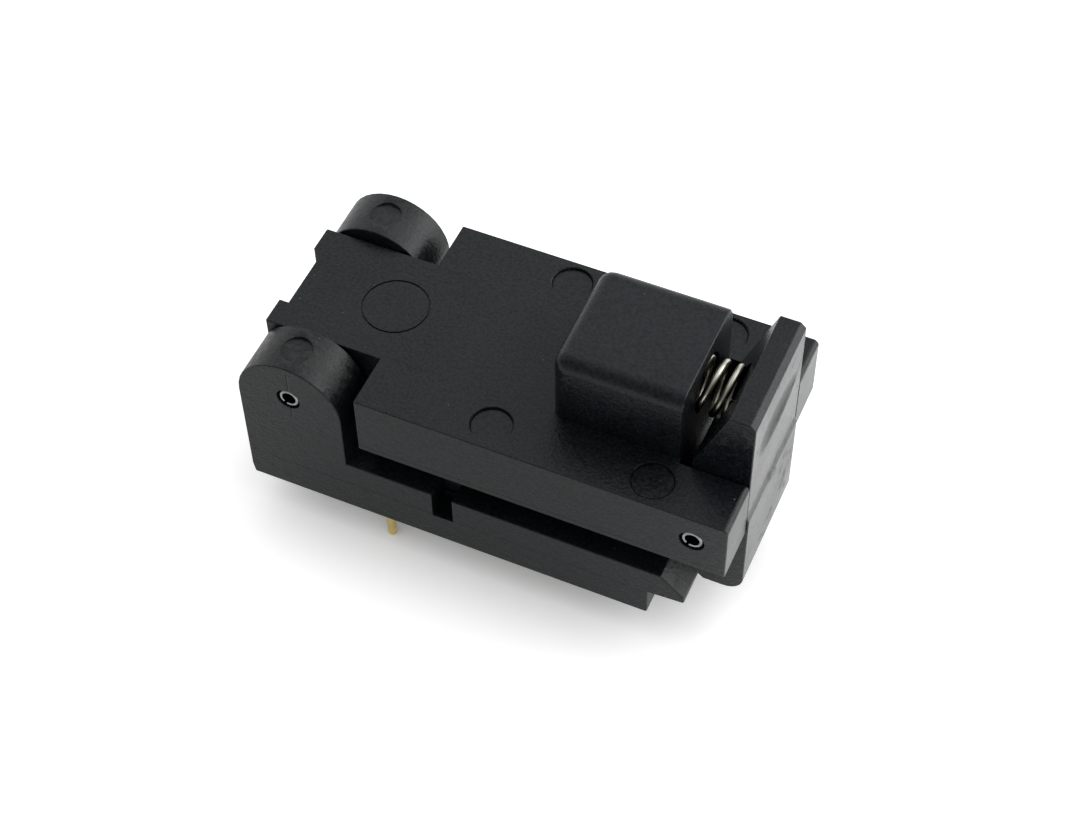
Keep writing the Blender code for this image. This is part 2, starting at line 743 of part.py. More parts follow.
def coil(start, end, radius, wire_radius, coils, steps):
    """Points of a left-hand compression spring with one close turn at each end."""
    axis = Vector(end) - Vector(start)
    close = CLOSE_TURN * wire_radius / axis.length
    side = axis.orthogonal().normalized()
    other = side.cross(axis).normalized()
    points = []
    for i in range(coils * steps + 1):
        turn = i / steps
        open_turns = min(max(turn - 1, 0), coils - 2)
        close_turns = turn - open_turns
        along = close * close_turns + (1 - 2 * close) * open_turns / (coils - 2)
        angle = 2 * math.pi * turn
        offset = (side * math.cos(angle) + other * math.sin(angle)) * radius
        points.append(Vector(start) + axis * along + offset)
    return points


def make_latch_spring(frame):
    start = (BORE_START + FIT + LATCH_WIRE, 0, BORE_HEIGHT)
    end = (SEAT_FLOOR - FIT - LATCH_WIRE, 0, BORE_HEIGHT)
    points = coil(start, end, LATCH_COIL_RADIUS, LATCH_WIRE, LATCH_COILS, HOLE_SIDES)
    finish(wire("latch_spring", points, LATCH_WIRE), "spring_steel", frame)


# Pressure pad


def make_pad(frame):
    half_length = POCKET_LENGTH / 2 - FIT
    half_width = POCKET_WIDTH / 2 - FIT
    pad = block("pressure_pad", (-half_length, -half_width, PAD_LOW), (half_length, half_width, PAD_TOP))
    nose_low = (-PAD_NOSE_LENGTH / 2, -PAD_NOSE_WIDTH / 2, PAD_NOSE_LOW)
    nose_high = (PAD_NOSE_LENGTH / 2, PAD_NOSE_WIDTH / 2, PAD_TOP - PAD_SPRING_SEAT)
    nose = block("pad_nose", nose_low, nose_high)
    round_edges(nose, EDGE_ROUND)
    join(pad, nose)
    relief_low = (-PAD_NOSE_LENGTH, -PAD_RELIEF_WIDTH / 2, PAD_NOSE_LOW - THROUGH)
    relief_high = (PAD_NOSE_LENGTH, PAD_RELIEF_WIDTH / 2, PAD_NOSE_LOW + PAD_RELIEF_DEPTH)
    cut(pad, block("pad_relief", relief_low, relief_high))
    for side in (-1, 1):
        low = (side * PAD_SPRING_X, 0, PAD_TOP - PAD_SPRING_SEAT)
        high = (side * PAD_SPRING_X, 0, PAD_TOP + THROUGH)
        seat_radius = PAD_COIL_RADIUS + PAD_WIRE + FIT
        cut(pad, rod("pad_spring_seat", low, high, seat_radius, RING_SIDES))
    finish(pad, "moulded_black", frame)


def make_pad_springs(frame):
    for number, side in ((1, -1), (2, 1)):
        start = (side * PAD_SPRING_X, 0, PAD_TOP - PAD_SPRING_SEAT + FIT + PAD_WIRE)
        end = (side * PAD_SPRING_X, 0, POCKET_TOP - FIT - PAD_WIRE)
        points = coil(start, end, PAD_COIL_RADIUS, PAD_WIRE, PAD_COILS, HOLE_SIDES)
        finish(wire(f"pad_spring_{number}", points, PAD_WIRE), "spring_steel", frame)


def make_retainer(frame):
    window = rectangle(PAD_NOSE_LENGTH + 2 * SIDE_GAP, PAD_NOSE_WIDTH + 2 * SIDE_GAP)
    outlines = [rectangle(RETAINER_LENGTH, RETAINER_WIDTH), window]
    for x, y in CORNERS:
        outlines.append(circle((x * SCREW_X, y * SCREW_Y), SCREW_RADIUS + PIN_FIT, HOLE_SIDES))
    retainer = level_plate("pad_retainer", outlines, LID_UNDER, RETAINER_TOP)
    finish(retainer, "screw_steel", frame)


def make_screws(frame):
    """Slotted screws with their heads below the retainer plate."""
    head_top = LID_UNDER - PIN_FIT
    head_low = head_top - SCREW_HEAD_THICKNESS
    point = LID_UNDER + SCREW_LENGTH
    chamfer = SCREW_RADIUS / 4
    profile = [
        (0, point),
        (SCREW_RADIUS - chamfer, point),
        (SCREW_RADIUS, point - chamfer),
        (SCREW_RADIUS, head_top),
        (SCREW_HEAD_RADIUS, head_top),
        (SCREW_HEAD_RADIUS, head_low + chamfer),
        (SCREW_HEAD_RADIUS - chamfer, head_low),
        (0, head_low),
    ]
    half = SCREW_DRIVE_WIDTH / 2
    for number, (x, y) in enumerate(CORNERS, 1):
        screw = turned(f"retainer_screw_{number}", profile, HOLE_SIDES)
        screw.location = (x * SCREW_X, y * SCREW_Y, 0)
        low = (x * SCREW_X - half, y * SCREW_Y - THROUGH, head_low - THROUGH)
        high = (x * SCREW_X + half, y * SCREW_Y + THROUGH, head_low + SCREW_DRIVE_DEPTH)
        cut(screw, block(f"screw_drive_{number}", low, high))
        finish(screw, "screw_steel", frame)


# Contact field


def make_carrier(frame):
    """The block in the base's window: a flange on the floor and a channel for each contact."""
    half_length = CAVITY_LENGTH / 2 - FIT
    half_width = CAVITY_WIDTH / 2 - FIT
    flange_low = (-half_length, -half_width, BASE_FLOOR + FIT)
    carrier = block("contact_carrier", flange_low, (half_length, half_width, CARRIER_TOP))
    foot_low = (FIT - WINDOW_LENGTH / 2, FIT - WINDOW_WIDTH / 2, 0)
    foot_high = (WINDOW_LENGTH / 2 - FIT, WINDOW_WIDTH / 2 - FIT, BASE_FLOOR + 2 * FIT)
    join(carrier, block("carrier_foot", foot_low, foot_high))
    half_hole = CONTACT_THICKNESS / 2 + SLOT_GAP
    channels = []
    holes = []
    for side in (-1, 1):
        ends = sorted((side * CHANNEL_INNER, side * CHANNEL_OUTER))
        for i, x in enumerate(CONTACT_X):
            low = (x - HALF_SLOT, ends[0], CARRIER_FLOOR)
            channels.append((low, (x + HALF_SLOT, ends[1], CARRIER_TOP + THROUGH)))
            tail = side * tail_y(i, side)
            low = (x - HALF_SLOT, tail - half_hole, -THROUGH)
            holes.append((low, (x + HALF_SLOT, tail + half_hole, CARRIER_FLOOR + FIT)))
    cut(carrier, blocks("contact_channels", channels))
    cut(carrier, blocks("tail_holes", holes))
    for x, y in CORNERS:
        low = (x * PEG_X, y * PEG_Y, -THROUGH)
        high = (x * PEG_X, y * PEG_Y, CARRIER_TOP + THROUGH)
        cut(carrier, rod("carrier_peg_hole", low, high, PEG_RADIUS + FIT, HOLE_SIDES))
    finish(carrier, "moulded_black", frame)


def tail_y(index, side):
    """Every second tail stands in the outer row, and the two sides are turned copies."""
    outer = index % 2 == (0 if side > 0 else 1)
    return TAIL_OUTER_Y if outer else TAIL_INNER_Y


def make_nest(frame):
    """The frame that places the chip: a pocket with a lead-in and a comb over the contacts."""
    half_length = CAVITY_LENGTH / 2 - 2 * FIT
    half_width = CAVITY_WIDTH / 2 - 2 * FIT
    top = NEST_BOTTOM + NEST_THICKNESS
    nest = block("device_nest", (-half_length, -half_width, NEST_BOTTOM), (half_length, half_width, top))
    round_edges(nest, EDGE_ROUND)
    floor = NEST_BOTTOM + NEST_FLOOR
    pocket_low = (-DEVICE_LENGTH / 2, -DEVICE_WIDTH / 2, floor)
    cut(nest, block("device_pocket", pocket_low, (DEVICE_LENGTH / 2, DEVICE_WIDTH / 2, top + THROUGH)))
    rim_low = (-DEVICE_LENGTH / 2, -DEVICE_WIDTH / 2, top - LEAD_IN)
    rim_high = (DEVICE_LENGTH / 2, DEVICE_WIDTH / 2, top + LEAD_IN)
    cut(nest, block("pocket_lead_in", rim_low, rim_high, 2 * LEAD_IN))
    comb_outer = DEVICE_WIDTH / 2 + 2 * CONTACT_THICKNESS
    comb = []
    for side in (-1, 1):
        ends = sorted((side * CHANNEL_INNER, side * comb_outer))
        for x in CONTACT_X:
            low = (x - HALF_SLOT, ends[0], NEST_BOTTOM - THROUGH)
            comb.append((low, (x + HALF_SLOT, ends[1], CONTACT_TIP + 2 * FIT)))
    cut(nest, blocks("nest_comb", comb))
    for x, y in CORNERS:
        low = (x * PEG_X, y * PEG_Y, FIT)
        high = (x * PEG_X, y * PEG_Y, NEST_BOTTOM + FIT)
        join(nest, rod("nest_peg", low, high, PEG_RADIUS, HOLE_SIDES))
    finish(nest, "moulded_black", frame)


def contact_mesh(name, tail):
    """A blanked strip bent in an S from the solder tail up to the tip."""
    data = bpy.data.curves.new(name, "CURVE")
    data.dimensions = "2D"
    data.fill_mode = "NONE"
    data.resolution_u = SMALL_ROUND_STEPS
    data.extrude = CONTACT_WIDTH / 2
    rise = CONTACT_TIP - CARRIER_FLOOR
    inner = CONTACT_TIP_Y - CONTACT_THICKNESS
    route = [
        (tail, -TAIL_REACH),
        (tail, CARRIER_FLOOR),
        ((tail + inner) / 2, CARRIER_FLOOR + rise * FIRST_BEND),
        (inner, CARRIER_FLOOR + rise * INNER_BEND),
        (CONTACT_TIP_Y + 2 * CONTACT_THICKNESS, CARRIER_FLOOR + rise * OUTER_BEND),
        (CONTACT_TIP_Y + CONTACT_THICKNESS, CARRIER_FLOOR + rise * TIP_BEND),
        (CONTACT_TIP_Y - CONTACT_THICKNESS / 4, CONTACT_TIP),
    ]
    spline = data.splines.new("BEZIER")
    spline.bezier_points.add(len(route) - 1)
    for point, (across, up) in zip(spline.bezier_points, route):
        point.co = (across, up, 0)
        point.handle_left_type = "AUTO"
        point.handle_right_type = "AUTO"
    straight = spline.bezier_points[0]
    straight.handle_left_type = "VECTOR"
    straight.handle_right_type = "VECTOR"
    spline.bezier_points[1].handle_left_type = "VECTOR"
    made = mesh_of(add_object(name, data))
    mesh = made.data
    bpy.data.objects.remove(made)
    return mesh


def make_contacts(frame):
    meshes = {}
    for tail in (TAIL_INNER_Y, TAIL_OUTER_Y):
        meshes[tail] = contact_mesh("contact_strip", tail)
        meshes[tail].materials.append(bpy.data.materials["contact_gold"])
    number = 0
    for side in (-1, 1):
        for i, x in enumerate(CONTACT_X):
            number += 1
            contact = add_object(f"contact_{number:02d}", meshes[tail_y(i, side)], PARTS)
            contact.location = (x, 0, 0)
            contact.rotation_euler = (math.pi / 2, 0, side * math.pi / 2)
            strip = contact.modifiers.new("strip", "SOLIDIFY")
            strip.thickness = CONTACT_THICKNESS
            strip.offset = 0
            strip.use_even_offset = True
            contact.parent = frame


def make_index_pin(frame):
    """The round pin that shows which way the socket goes on its board."""
    point = INDEX_RADIUS / 2
    profile = [
        (0, INDEX_DEPTH),
        (INDEX_RADIUS, INDEX_DEPTH),
        (INDEX_RADIUS, point - TAIL_REACH),
        (INDEX_RADIUS - point, -TAIL_REACH),
        (0, -TAIL_REACH),
    ]
    pin = turned("index_pin", profile, RING_SIDES)
    pin.location = (INDEX_X, INDEX_Y, 0)
    finish(pin, "contact_gold", frame)


def main():
    base_frame = add_frame("base_frame", (0, 0, 0))
    lid_frame = add_frame("lid_frame", (HINGE_X, 0, HINGE_Z), base_frame)
    latch_frame = add_frame("latch_frame", (LATCH_X, 0, LATCH_Z), lid_frame)
    pad_frame = add_frame("pad_frame", (0, 0, PAD_LOW), lid_frame)
    make_base(base_frame)
    make_roll_pin("hinge_pin", HINGE_X, HINGE_Z, base_frame)
    make_hinge_spring(base_frame)
    make_carrier(base_frame)
    make_nest(base_frame)
    make_contacts(base_frame)
    make_index_pin(base_frame)
    make_lid(lid_frame)
    make_roll_pin("latch_pin", LATCH_X, LATCH_Z, lid_frame)
    make_latch_spring(lid_frame)
    make_retainer(lid_frame)
    make_screws(lid_frame)
    make_pad_springs(lid_frame)
    make_lever(latch_frame)
    make_pad(pad_frame)


main()
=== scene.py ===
"""The finish of a clamshell test socket: its black mouldings, springs, pins and plated contacts."""

import json
import math

import bmesh
import bpy
from bpy.props import FloatProperty, FloatVectorProperty, IntProperty, PointerProperty
from mathutils import Euler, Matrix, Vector

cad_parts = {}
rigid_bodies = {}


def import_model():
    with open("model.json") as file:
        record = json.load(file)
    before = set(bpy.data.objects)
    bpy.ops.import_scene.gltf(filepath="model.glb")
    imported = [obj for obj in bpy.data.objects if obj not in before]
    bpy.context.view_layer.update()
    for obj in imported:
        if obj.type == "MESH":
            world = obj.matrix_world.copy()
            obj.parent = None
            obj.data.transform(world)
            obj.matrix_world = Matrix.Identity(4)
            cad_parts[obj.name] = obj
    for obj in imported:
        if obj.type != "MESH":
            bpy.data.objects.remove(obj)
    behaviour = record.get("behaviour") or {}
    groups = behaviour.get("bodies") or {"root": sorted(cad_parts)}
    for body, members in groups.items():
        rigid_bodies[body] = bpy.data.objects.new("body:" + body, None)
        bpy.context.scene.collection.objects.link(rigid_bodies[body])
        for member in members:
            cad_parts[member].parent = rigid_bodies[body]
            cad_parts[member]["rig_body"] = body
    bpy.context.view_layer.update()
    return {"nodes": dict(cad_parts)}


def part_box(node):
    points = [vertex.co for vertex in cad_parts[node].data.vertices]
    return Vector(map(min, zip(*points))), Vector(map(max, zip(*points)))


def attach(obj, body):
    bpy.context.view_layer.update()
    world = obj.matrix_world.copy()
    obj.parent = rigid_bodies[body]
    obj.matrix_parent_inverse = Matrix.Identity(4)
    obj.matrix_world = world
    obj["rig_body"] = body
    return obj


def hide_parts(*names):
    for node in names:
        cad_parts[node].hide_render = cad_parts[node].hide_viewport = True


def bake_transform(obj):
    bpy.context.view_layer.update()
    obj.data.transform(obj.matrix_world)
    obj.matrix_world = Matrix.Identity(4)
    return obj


bl_info = {
    "name": "Test socket finish",
    "version": (1, 0, 0),
    "blender": (4, 5, 0),
    "location": "3D View > Sidebar > Test socket",
    "description": "Rounds, winds and finishes the pieces of a clamshell test socket",
    "category": "Object",
}

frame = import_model()

MILLIMETRE = 0.001
WHITE = (1.0, 1.0, 1.0, 1.0)

# Meshes: points that count as one, facets that count as flat, edges that get rounded or stay sharp
MERGE_DISTANCE = 0.000001
FLAT_ANGLE = math.radians(0.5)
SMOOTH_ANGLE = math.radians(50)
TURNED_ANGLE = math.radians(35)
EDGE_STEPS = 2
CONTACT_EDGE = 0.00002
PLATE_EDGE = 0.00004
SCREW_EDGE = 0.00003

# Grain: the frequency of its coarser layer and of the broad patches, and the coarser layer's height,
# as shares of the fine grain's
COARSE_SCALE = 0.31
PATCH_SCALE = 0.03
COARSE_HEIGHT = 0.8

# Dust: the radius of the smallest speck and how much more the largest has, in shares of a cell, and how
# far up a face has to look for specks to be at their faintest and at full strength
SPECK_RADIUS = 0.03
SPECK_SPREAD = 0.08
DUST_SLOPES = (-0.2, 0.7)
DUST_LEAST = 0.25

# Scuffs: frequency and weight of their broad layer, and what a full amount adds to the level
SCUFF_SCALE = 0.2
SCUFF_WEIGHT = 0.6
SCUFF_LIFT = 0.2

# Mouldings: what the patches do to tone and roughness, the mottling's darkest and palest share of the
# colour, and the colour share and strength of worn edges, fine lines, dust and scuffs
PATCH_TONE = 0.3
PATCH_ROUGHNESS = 0.08
MOTTLE_SHARES = (0.3, 1.7)
WORN_SHARE = 2.6
WORN_STRENGTH = 0.5
LINE_SHARE = 0.3
LINE_STRENGTH = 0.6
LINE_DEPTH = 3.0
DUST_STRENGTH = 0.7
SCUFF_DUST_SHARE = 0.25
SCUFF_STRENGTH = 0.5
SCUFF_ROUGHNESS = 0.2
GLOSS_STEP = 0.05

# Metal: frequency of the stains as a share of the streaks', how open a place is where painted shade fills
# it and where it is free of it, the painted shade's share of the colour, what stains add to roughness,
# and depth of the streaks
STAIN_SCALE = 0.15
PAINTED_SHADE_FADE = (0.2, 0.7)
PAINTED_SHADE_SHARE = 0.06
STAIN_ROUGHNESS = 0.12
STREAK_DEPTH = 0.000002

# Parting lines: their width, their heights, and how much the base's drops along x
PARTING_WIDTH = 0.00003
BASE_PARTING = 0.00245
BASE_PARTING_TILT = 0.012
LID_PARTING = 0.00745

# Weld lines on the near ear: width, lean off upright, how deep behind the near face they reach, and each
# one's place across and its two ends, measured from the hinge pin
WELD_WIDTH = 0.0001
WELD_LEAN = -0.06
WELD_FACE = 0.0003
WELD_LINES = ((0.00002, 0.0007, 0.0026), (0.00022, -0.0018, -0.0007))

# Wear on the base: its reach either side of the hinge pin's top, and back from the catch lip's end, and
# the even part of the lip's wear
EAR_WEAR = 0.001
LIP_WEAR = (0.0018, 0.0004)
LIP_EVEN = 0.5

# The lid's flat top, and the rings of the ejector marks in it
LID_TOP = 0.01183
LID_TOP_BAND = (-0.0003, 0.0001)
EJECTOR_X = (-0.0016, 0.0093)
EJECTOR_INSET = 0.00185
EJECTOR_RADIUS = 0.00138
RING_WIDTH = 0.00007

# Roll pins: thickness of the strip, width of the slit, where it faces, and steps round the pin
STRIP = 0.0003
SLIT = 0.0003
SLIT_ANGLE = math.radians(240)
PIN_STEPS = 40

# Springs: steps to a turn, sides of the thin wires, and the rise of a close end turn in wire radii
COIL_STEPS = 48
SMALL_COIL_STEPS = 36
SMALL_WIRE_SIDES = 12
CLOSE_TURN = 2.4

# Shares of the latch spring's length over which its coils start to lean, and stand up again
LEAN_START = 0.3
LEAN_END = 0.03

# Camera at the photo's angle
CAMERA_PLACE = (0.03670, -0.08237, 0.12196)
CAMERA_TURN = (0.6649, 0.0104, 0.416)
SENSOR_WIDTH = 36.0

# Floor: half its width, its colour, the reach of the shadow painted near the object, and where along x
# its glow in mirrors rises
FLOOR_HALF = 1.5
FLOOR_COLOUR = (0.86, 0.86, 0.86)
FLOOR_ROUGHNESS = 0.9
PAINTED_SHADOW_REACH = 0.006
LATCH_GLOW = (0.011, 0.018)

# Room: the directions of the two soft lights, the cosines over which they fade in, and the part of the
# y direction over which the light from the front reaches its full level
LOW_LIGHT = (0.80, 0.55, 0.24)
HIGH_LIGHT = (0.55, 0.45, 0.70)
LIGHT_FADE = (0.82, 0.97)
FRONT_FADE = (-0.7, 0.35)


# Sizes and colours that a user would change


class MouldingLook(bpy.types.PropertyGroup):
    """Finish of the black moulded pieces"""

    colour: FloatVectorProperty(
        name="Colour",
        description="Colour of the black moulding compound",
        subtype="COLOR",
        size=3,
        min=0.0,
        max=1.0,
        default=(0.0074, 0.0104, 0.0120),
    )
    dust_colour: FloatVectorProperty(
        name="Dust colour",
        description="Colour of the specks that lie on the mouldings",
        subtype="COLOR",
        size=3,
        min=0.0,
        max=1.0,
        default=(0.16, 0.16, 0.15),
    )
    roughness: FloatProperty(
        name="Roughness",
        description="Roughness of the moulded surface",
        subtype="FACTOR",
        min=0.0,
        max=1.0,
        default=0.31,
    )
    shine: FloatProperty(
        name="Shine",
        description="Strength of the surface's mirror part; 0.5 is a plain plastic's",
        subtype="FACTOR",
        min=0.0,
        max=1.0,
        default=0.28,
    )
    grain_size: FloatProperty(
        name="Grain size",
        description="Width of the fine grain that the mould leaves",
        subtype="DISTANCE",
        unit="LENGTH",
        default=0.0002,
    )
    grain_depth: FloatProperty(
        name="Grain depth",
        description="Depth of the fine grain",
        subtype="DISTANCE",
        unit="LENGTH",
        default=0.000028,
    )
    edge_round: FloatProperty(
        name="Edge rounding",
        description="Radius of the edges that the mould leaves nearly sharp",
        subtype="DISTANCE",
        unit="LENGTH",
        default=0.00004,
    )
    wear_width: FloatProperty(
        name="Edge wear",
        description="Width of the paler, rubbed line along the edges",
        subtype="DISTANCE",
        unit="LENGTH",
        default=0.00007,
    )


class MetalLook(bpy.types.PropertyGroup):
    """Finish of the steel and gold-plated pieces"""

    steel: FloatVectorProperty(
        name="Spring steel",
        description="Colour of the springs",
        subtype="COLOR",
        size=3,
        min=0.0,
        max=1.0,
        default=(0.62, 0.60, 0.51),
    )
    gold: FloatVectorProperty(
        name="Gold plating",
        description="Colour of the contacts and the index pin",
        subtype="COLOR",
        size=3,
        min=0.0,
        max=1.0,
        default=(0.94, 0.75, 0.30),
    )
    plate: FloatVectorProperty(
        name="Plate steel",
        description="Colour of the retainer, its screws and the roll pins",
        subtype="COLOR",
        size=3,
        min=0.0,
        max=1.0,
        default=(0.42, 0.42, 0.43),
    )


class SpringSizes(bpy.types.PropertyGroup):
    """Wire and winding of the springs"""

    latch_wire: FloatProperty(
        name="Latch spring wire",
        description="Diameter of the latch spring's wire",
        subtype="DISTANCE",
        unit="LENGTH",
        default=0.0005,
    )
    latch_coils: FloatProperty(
        name="Latch spring coils",
        description="Turns of the latch spring, its close ends included",
        default=8.0,
    )
    latch_turn: FloatProperty(
        name="Latch spring turn",
        description="Angle about its axis at which the latch spring's wire starts",
        subtype="ANGLE",
        unit="ROTATION",
        default=math.radians(262),
    )
    latch_radius: FloatProperty(
        name="Latch spring radius",
        description="Radius of the latch spring's coils, to the middle of the wire",
        subtype="DISTANCE",
        unit="LENGTH",
        default=0.00165,
    )
    latch_lean: FloatProperty(
        name="Latch spring lean",
        description="How far the coils' tops lean towards the lever",
        subtype="ANGLE",
        unit="ROTATION",
        default=math.radians(12),
    )
    latch_sag: FloatProperty(
        name="Latch spring sag",
        description="How far the spring's middle line has dropped at the lever",
        subtype="DISTANCE",
        unit="LENGTH",
        default=0.00012,
    )
    hinge_wire: FloatProperty(
        name="Hinge spring wire",
        description="Diameter of the hinge spring's wire",
        subtype="DISTANCE",
        unit="LENGTH",
        default=0.0004,
    )
    hinge_coils: IntProperty(
        name="Hinge spring coils",
        description="Whole turns of the hinge spring",
        default=7,
    )
    pad_wire: FloatProperty(
        name="Pad spring wire",
        description="Diameter of the pad springs' wire",
        subtype="DISTANCE",
        unit="LENGTH",
        default=0.00025,
    )
    pad_coils: FloatProperty(
        name="Pad spring coils",
        description="Turns of each pad spring, its close ends included",
        default=4.0,
    )


class StageSettings(bpy.types.PropertyGroup):
    """Camera, light and floor"""

    lens: FloatProperty(
        name="Focal length",
        description="Focal length of the camera, in millimetres on a 36 mm sensor",
        default=73.64,
    )
    floor_drop: FloatProperty(
        name="Floor below the board plane",
        description="How far the solder tails hold the socket above the floor",
        subtype="DISTANCE",
        unit="LENGTH",
        default=0.003,
    )
    floor_glow: FloatProperty(
        name="Floor glow",
        description="Light that the pale floor gives off to the camera",
        default=0.63,
    )
    mirror_glow: FloatProperty(
        name="Floor glow in mirrors",
        description="Light that the pale floor gives off to shiny surfaces",
        default=0.2,
    )
    latch_glow: FloatProperty(
        name="Floor glow beyond the latch",
        description="Light that the floor beyond the latch gives off to shiny surfaces",
        default=0.75,
    )
    sky_level: FloatProperty(
        name="Room light",
        description="Level of the plain light from all round",
        default=0.92,
    )
    front_share: FloatProperty(
        name="Light from the front",
        description="Share of the room light that comes from the camera's side",
        subtype="FACTOR",
        min=0.0,
        max=1.0,
        default=0.3,
    )
    side_level: FloatProperty(
        name="Side light",
        description="Level of the broad soft light low beyond the latch",
        default=2.2,
    )
    key_level: FloatProperty(
        name="High light",
        description="Level of the broad soft light high beyond the latch",
        default=1.0,
    )


def settings(group):
    """The values of one of the scene's property groups."""
    return getattr(bpy.context.scene, group)


# Node building


def add_node(tree, kind, values=None, **choices):
    """A node with its choices set and its unlinked inputs given by name or number."""
    node = tree.nodes.new(kind)
    for name, value in choices.items():
        setattr(node, name, value)
    for socket, value in (values or {}).items():
        node.inputs[socket].default_value = value
    return node


def feed(tree, target, source):
    """Links a source socket to a target socket, or sets the target to a plain number."""
    if isinstance(source, (int, float)):
        target.default_value = source
    else:
        tree.links.new(source, target)


def math_node(tree, operation, *sources, clamp=False):
    """The result of a sum on sockets or plain numbers."""
    node = add_node(tree, "ShaderNodeMath", operation=operation, use_clamp=clamp)
    for target, source in zip(node.inputs, sources):
        feed(tree, target, source)
    return node.outputs[0]


def map_range(tree, source, low, high, new_low=0.0, new_high=1.0):
    """A smooth step from one range to another."""
    node = add_node(tree, "ShaderNodeMapRange", interpolation_type="SMOOTHSTEP")
    for target, value in zip(node.inputs, (source, low, high, new_low, new_high)):
        feed(tree, target, value)
    return node.outputs[0]


def noise(tree, place, scale, detail=2.0, roughness=0.5):
    """Soft noise from 0 to 1."""
    node = add_node(tree, "ShaderNodeTexNoise", {"Detail": detail, "Roughness": roughness})
    tree.links.new(place, node.inputs["Vector"])
    feed(tree, node.inputs["Scale"], scale)
    return node.outputs["Fac"]


def object_place(tree):
    """Each point's place on the piece at rest."""
    return add_node(tree, "ShaderNodeTexCoord").outputs["Object"]


def mix_colour(tree, factor, first, second):
    """The first colour where the factor is 0, the second where it is 1."""
    node = add_node(tree, "ShaderNodeMix", data_type="RGBA")
    feed(tree, node.inputs["Factor"], factor)
    for target, source in ((node.inputs["A"], first), (node.inputs["B"], second)):
        if isinstance(source, tuple):
            target.default_value = source
        else:
            tree.links.new(source, target)
    return node.outputs["Result"]


def opaque(colour, level=1.0):
    """A colour at a level, for a socket that has a fourth channel."""
    return tuple(channel * level for channel in colour) + (1.0,)


def new_group(name, inputs, outputs):
    """A shader node group with float inputs and outputs, and its two end nodes."""
    group = bpy.data.node_groups.new(name, "ShaderNodeTree")
    for socket, default in inputs.items():
        made = group.interface.new_socket(name=socket, in_out="INPUT", socket_type="NodeSocketFloat")
        made.default_value = default
    for socket in outputs:
        group.interface.new_socket(name=socket, in_out="OUTPUT", socket_type="NodeSocketFloat")
    return group, group.nodes.new("NodeGroupInput"), group.nodes.new("NodeGroupOutput")


def use_group(tree, group, **values):
    """A group in a material, with its inputs set by name; spaces are written as underscores."""
    node = add_node(tree, "ShaderNodeGroup", node_tree=group)
    for name, value in values.items():
        feed(tree, node.inputs[name.replace("_", " ")], value)
    return node


# Effects that several materials share


def moulded_grain_group():
    """Fine grain from the mould's face, and broad patches where the melt flowed unevenly."""
    outputs = ("Height", "Mottle", "Patches")
    group, start, end = new_group("moulded_grain", {"Grain size": 0.0001}, outputs)
    place = object_place(group)
    scale = math_node(group, "DIVIDE", 1.0, start.outputs["Grain size"])
    fine = noise(group, place, scale, detail=3.0, roughness=0.6)
    coarse = noise(group, place, math_node(group, "MULTIPLY", scale, COARSE_SCALE))
    height = math_node(group, "ADD", fine, math_node(group, "MULTIPLY", coarse, COARSE_HEIGHT))
    group.links.new(height, end.inputs["Height"])
    group.links.new(map_range(group, fine, low=0.3, high=0.7), end.inputs["Mottle"])
    broad = math_node(group, "MULTIPLY", scale, PATCH_SCALE)
    patches = noise(group, place, broad, detail=3.0, roughness=0.55)
    group.links.new(map_range(group, patches, low=0.3, high=0.7), end.inputs["Patches"])
    return group


def worn_edge_group():
    """A line along the edges, broken up by noise."""
    group, start, end = new_group("worn_edge", {"Width": 0.0001, "Breakup": 0.001}, ("Mask",))
    bevel = add_node(group, "ShaderNodeBevel", samples=6)
    group.links.new(start.outputs["Width"], bevel.inputs["Radius"])
    facing = add_node(group, "ShaderNodeVectorMath", operation="DOT_PRODUCT")
    group.links.new(bevel.outputs["Normal"], facing.inputs[0])
    group.links.new(add_node(group, "ShaderNodeNewGeometry").outputs["True Normal"], facing.inputs[1])
    edge = map_range(group, facing.outputs["Value"], low=0.995, high=0.80)
    scale = math_node(group, "DIVIDE", 1.0, start.outputs["Breakup"])
    broken = noise(group, object_place(group), scale, detail=3.0, roughness=0.6)
    breakup = map_range(group, broken, low=0.35, high=0.65)
    group.links.new(math_node(group, "MULTIPLY", edge, breakup), end.inputs["Mask"])
    return group


def dust_group():
    """Small specks of different sizes, mostly on the faces that look up."""
    group, start, end = new_group("settled_dust", {"Cell": 0.0006, "Amount": 0.3}, ("Mask",))
    coordinates = add_node(group, "ShaderNodeTexCoord")
    cells = add_node(group, "ShaderNodeTexVoronoi", feature="F1")
    group.links.new(coordinates.outputs["Object"], cells.inputs["Vector"])
    group.links.new(math_node(group, "DIVIDE", 1.0, start.outputs["Cell"]), cells.inputs["Scale"])
    chance = add_node(group, "ShaderNodeSeparateColor")
    group.links.new(cells.outputs["Color"], chance.inputs[0])
    shown = math_node(group, "LESS_THAN", chance.outputs[0], start.outputs["Amount"])
    radius = math_node(group, "MULTIPLY_ADD", chance.outputs[1], SPECK_SPREAD, SPECK_RADIUS)
    speck = map_range(group, cells.outputs["Distance"], radius, math_node(group, "MULTIPLY", radius, 0.5))
    facing = add_node(group, "ShaderNodeSeparateXYZ")
    group.links.new(coordinates.outputs["Normal"], facing.inputs[0])
    upward = map_range(group, facing.outputs["Z"], *DUST_SLOPES, DUST_LEAST, 1.0)
    mask = math_node(group, "MULTIPLY", math_node(group, "MULTIPLY", speck, shown), upward)
    group.links.new(mask, end.inputs["Mask"])
    return group


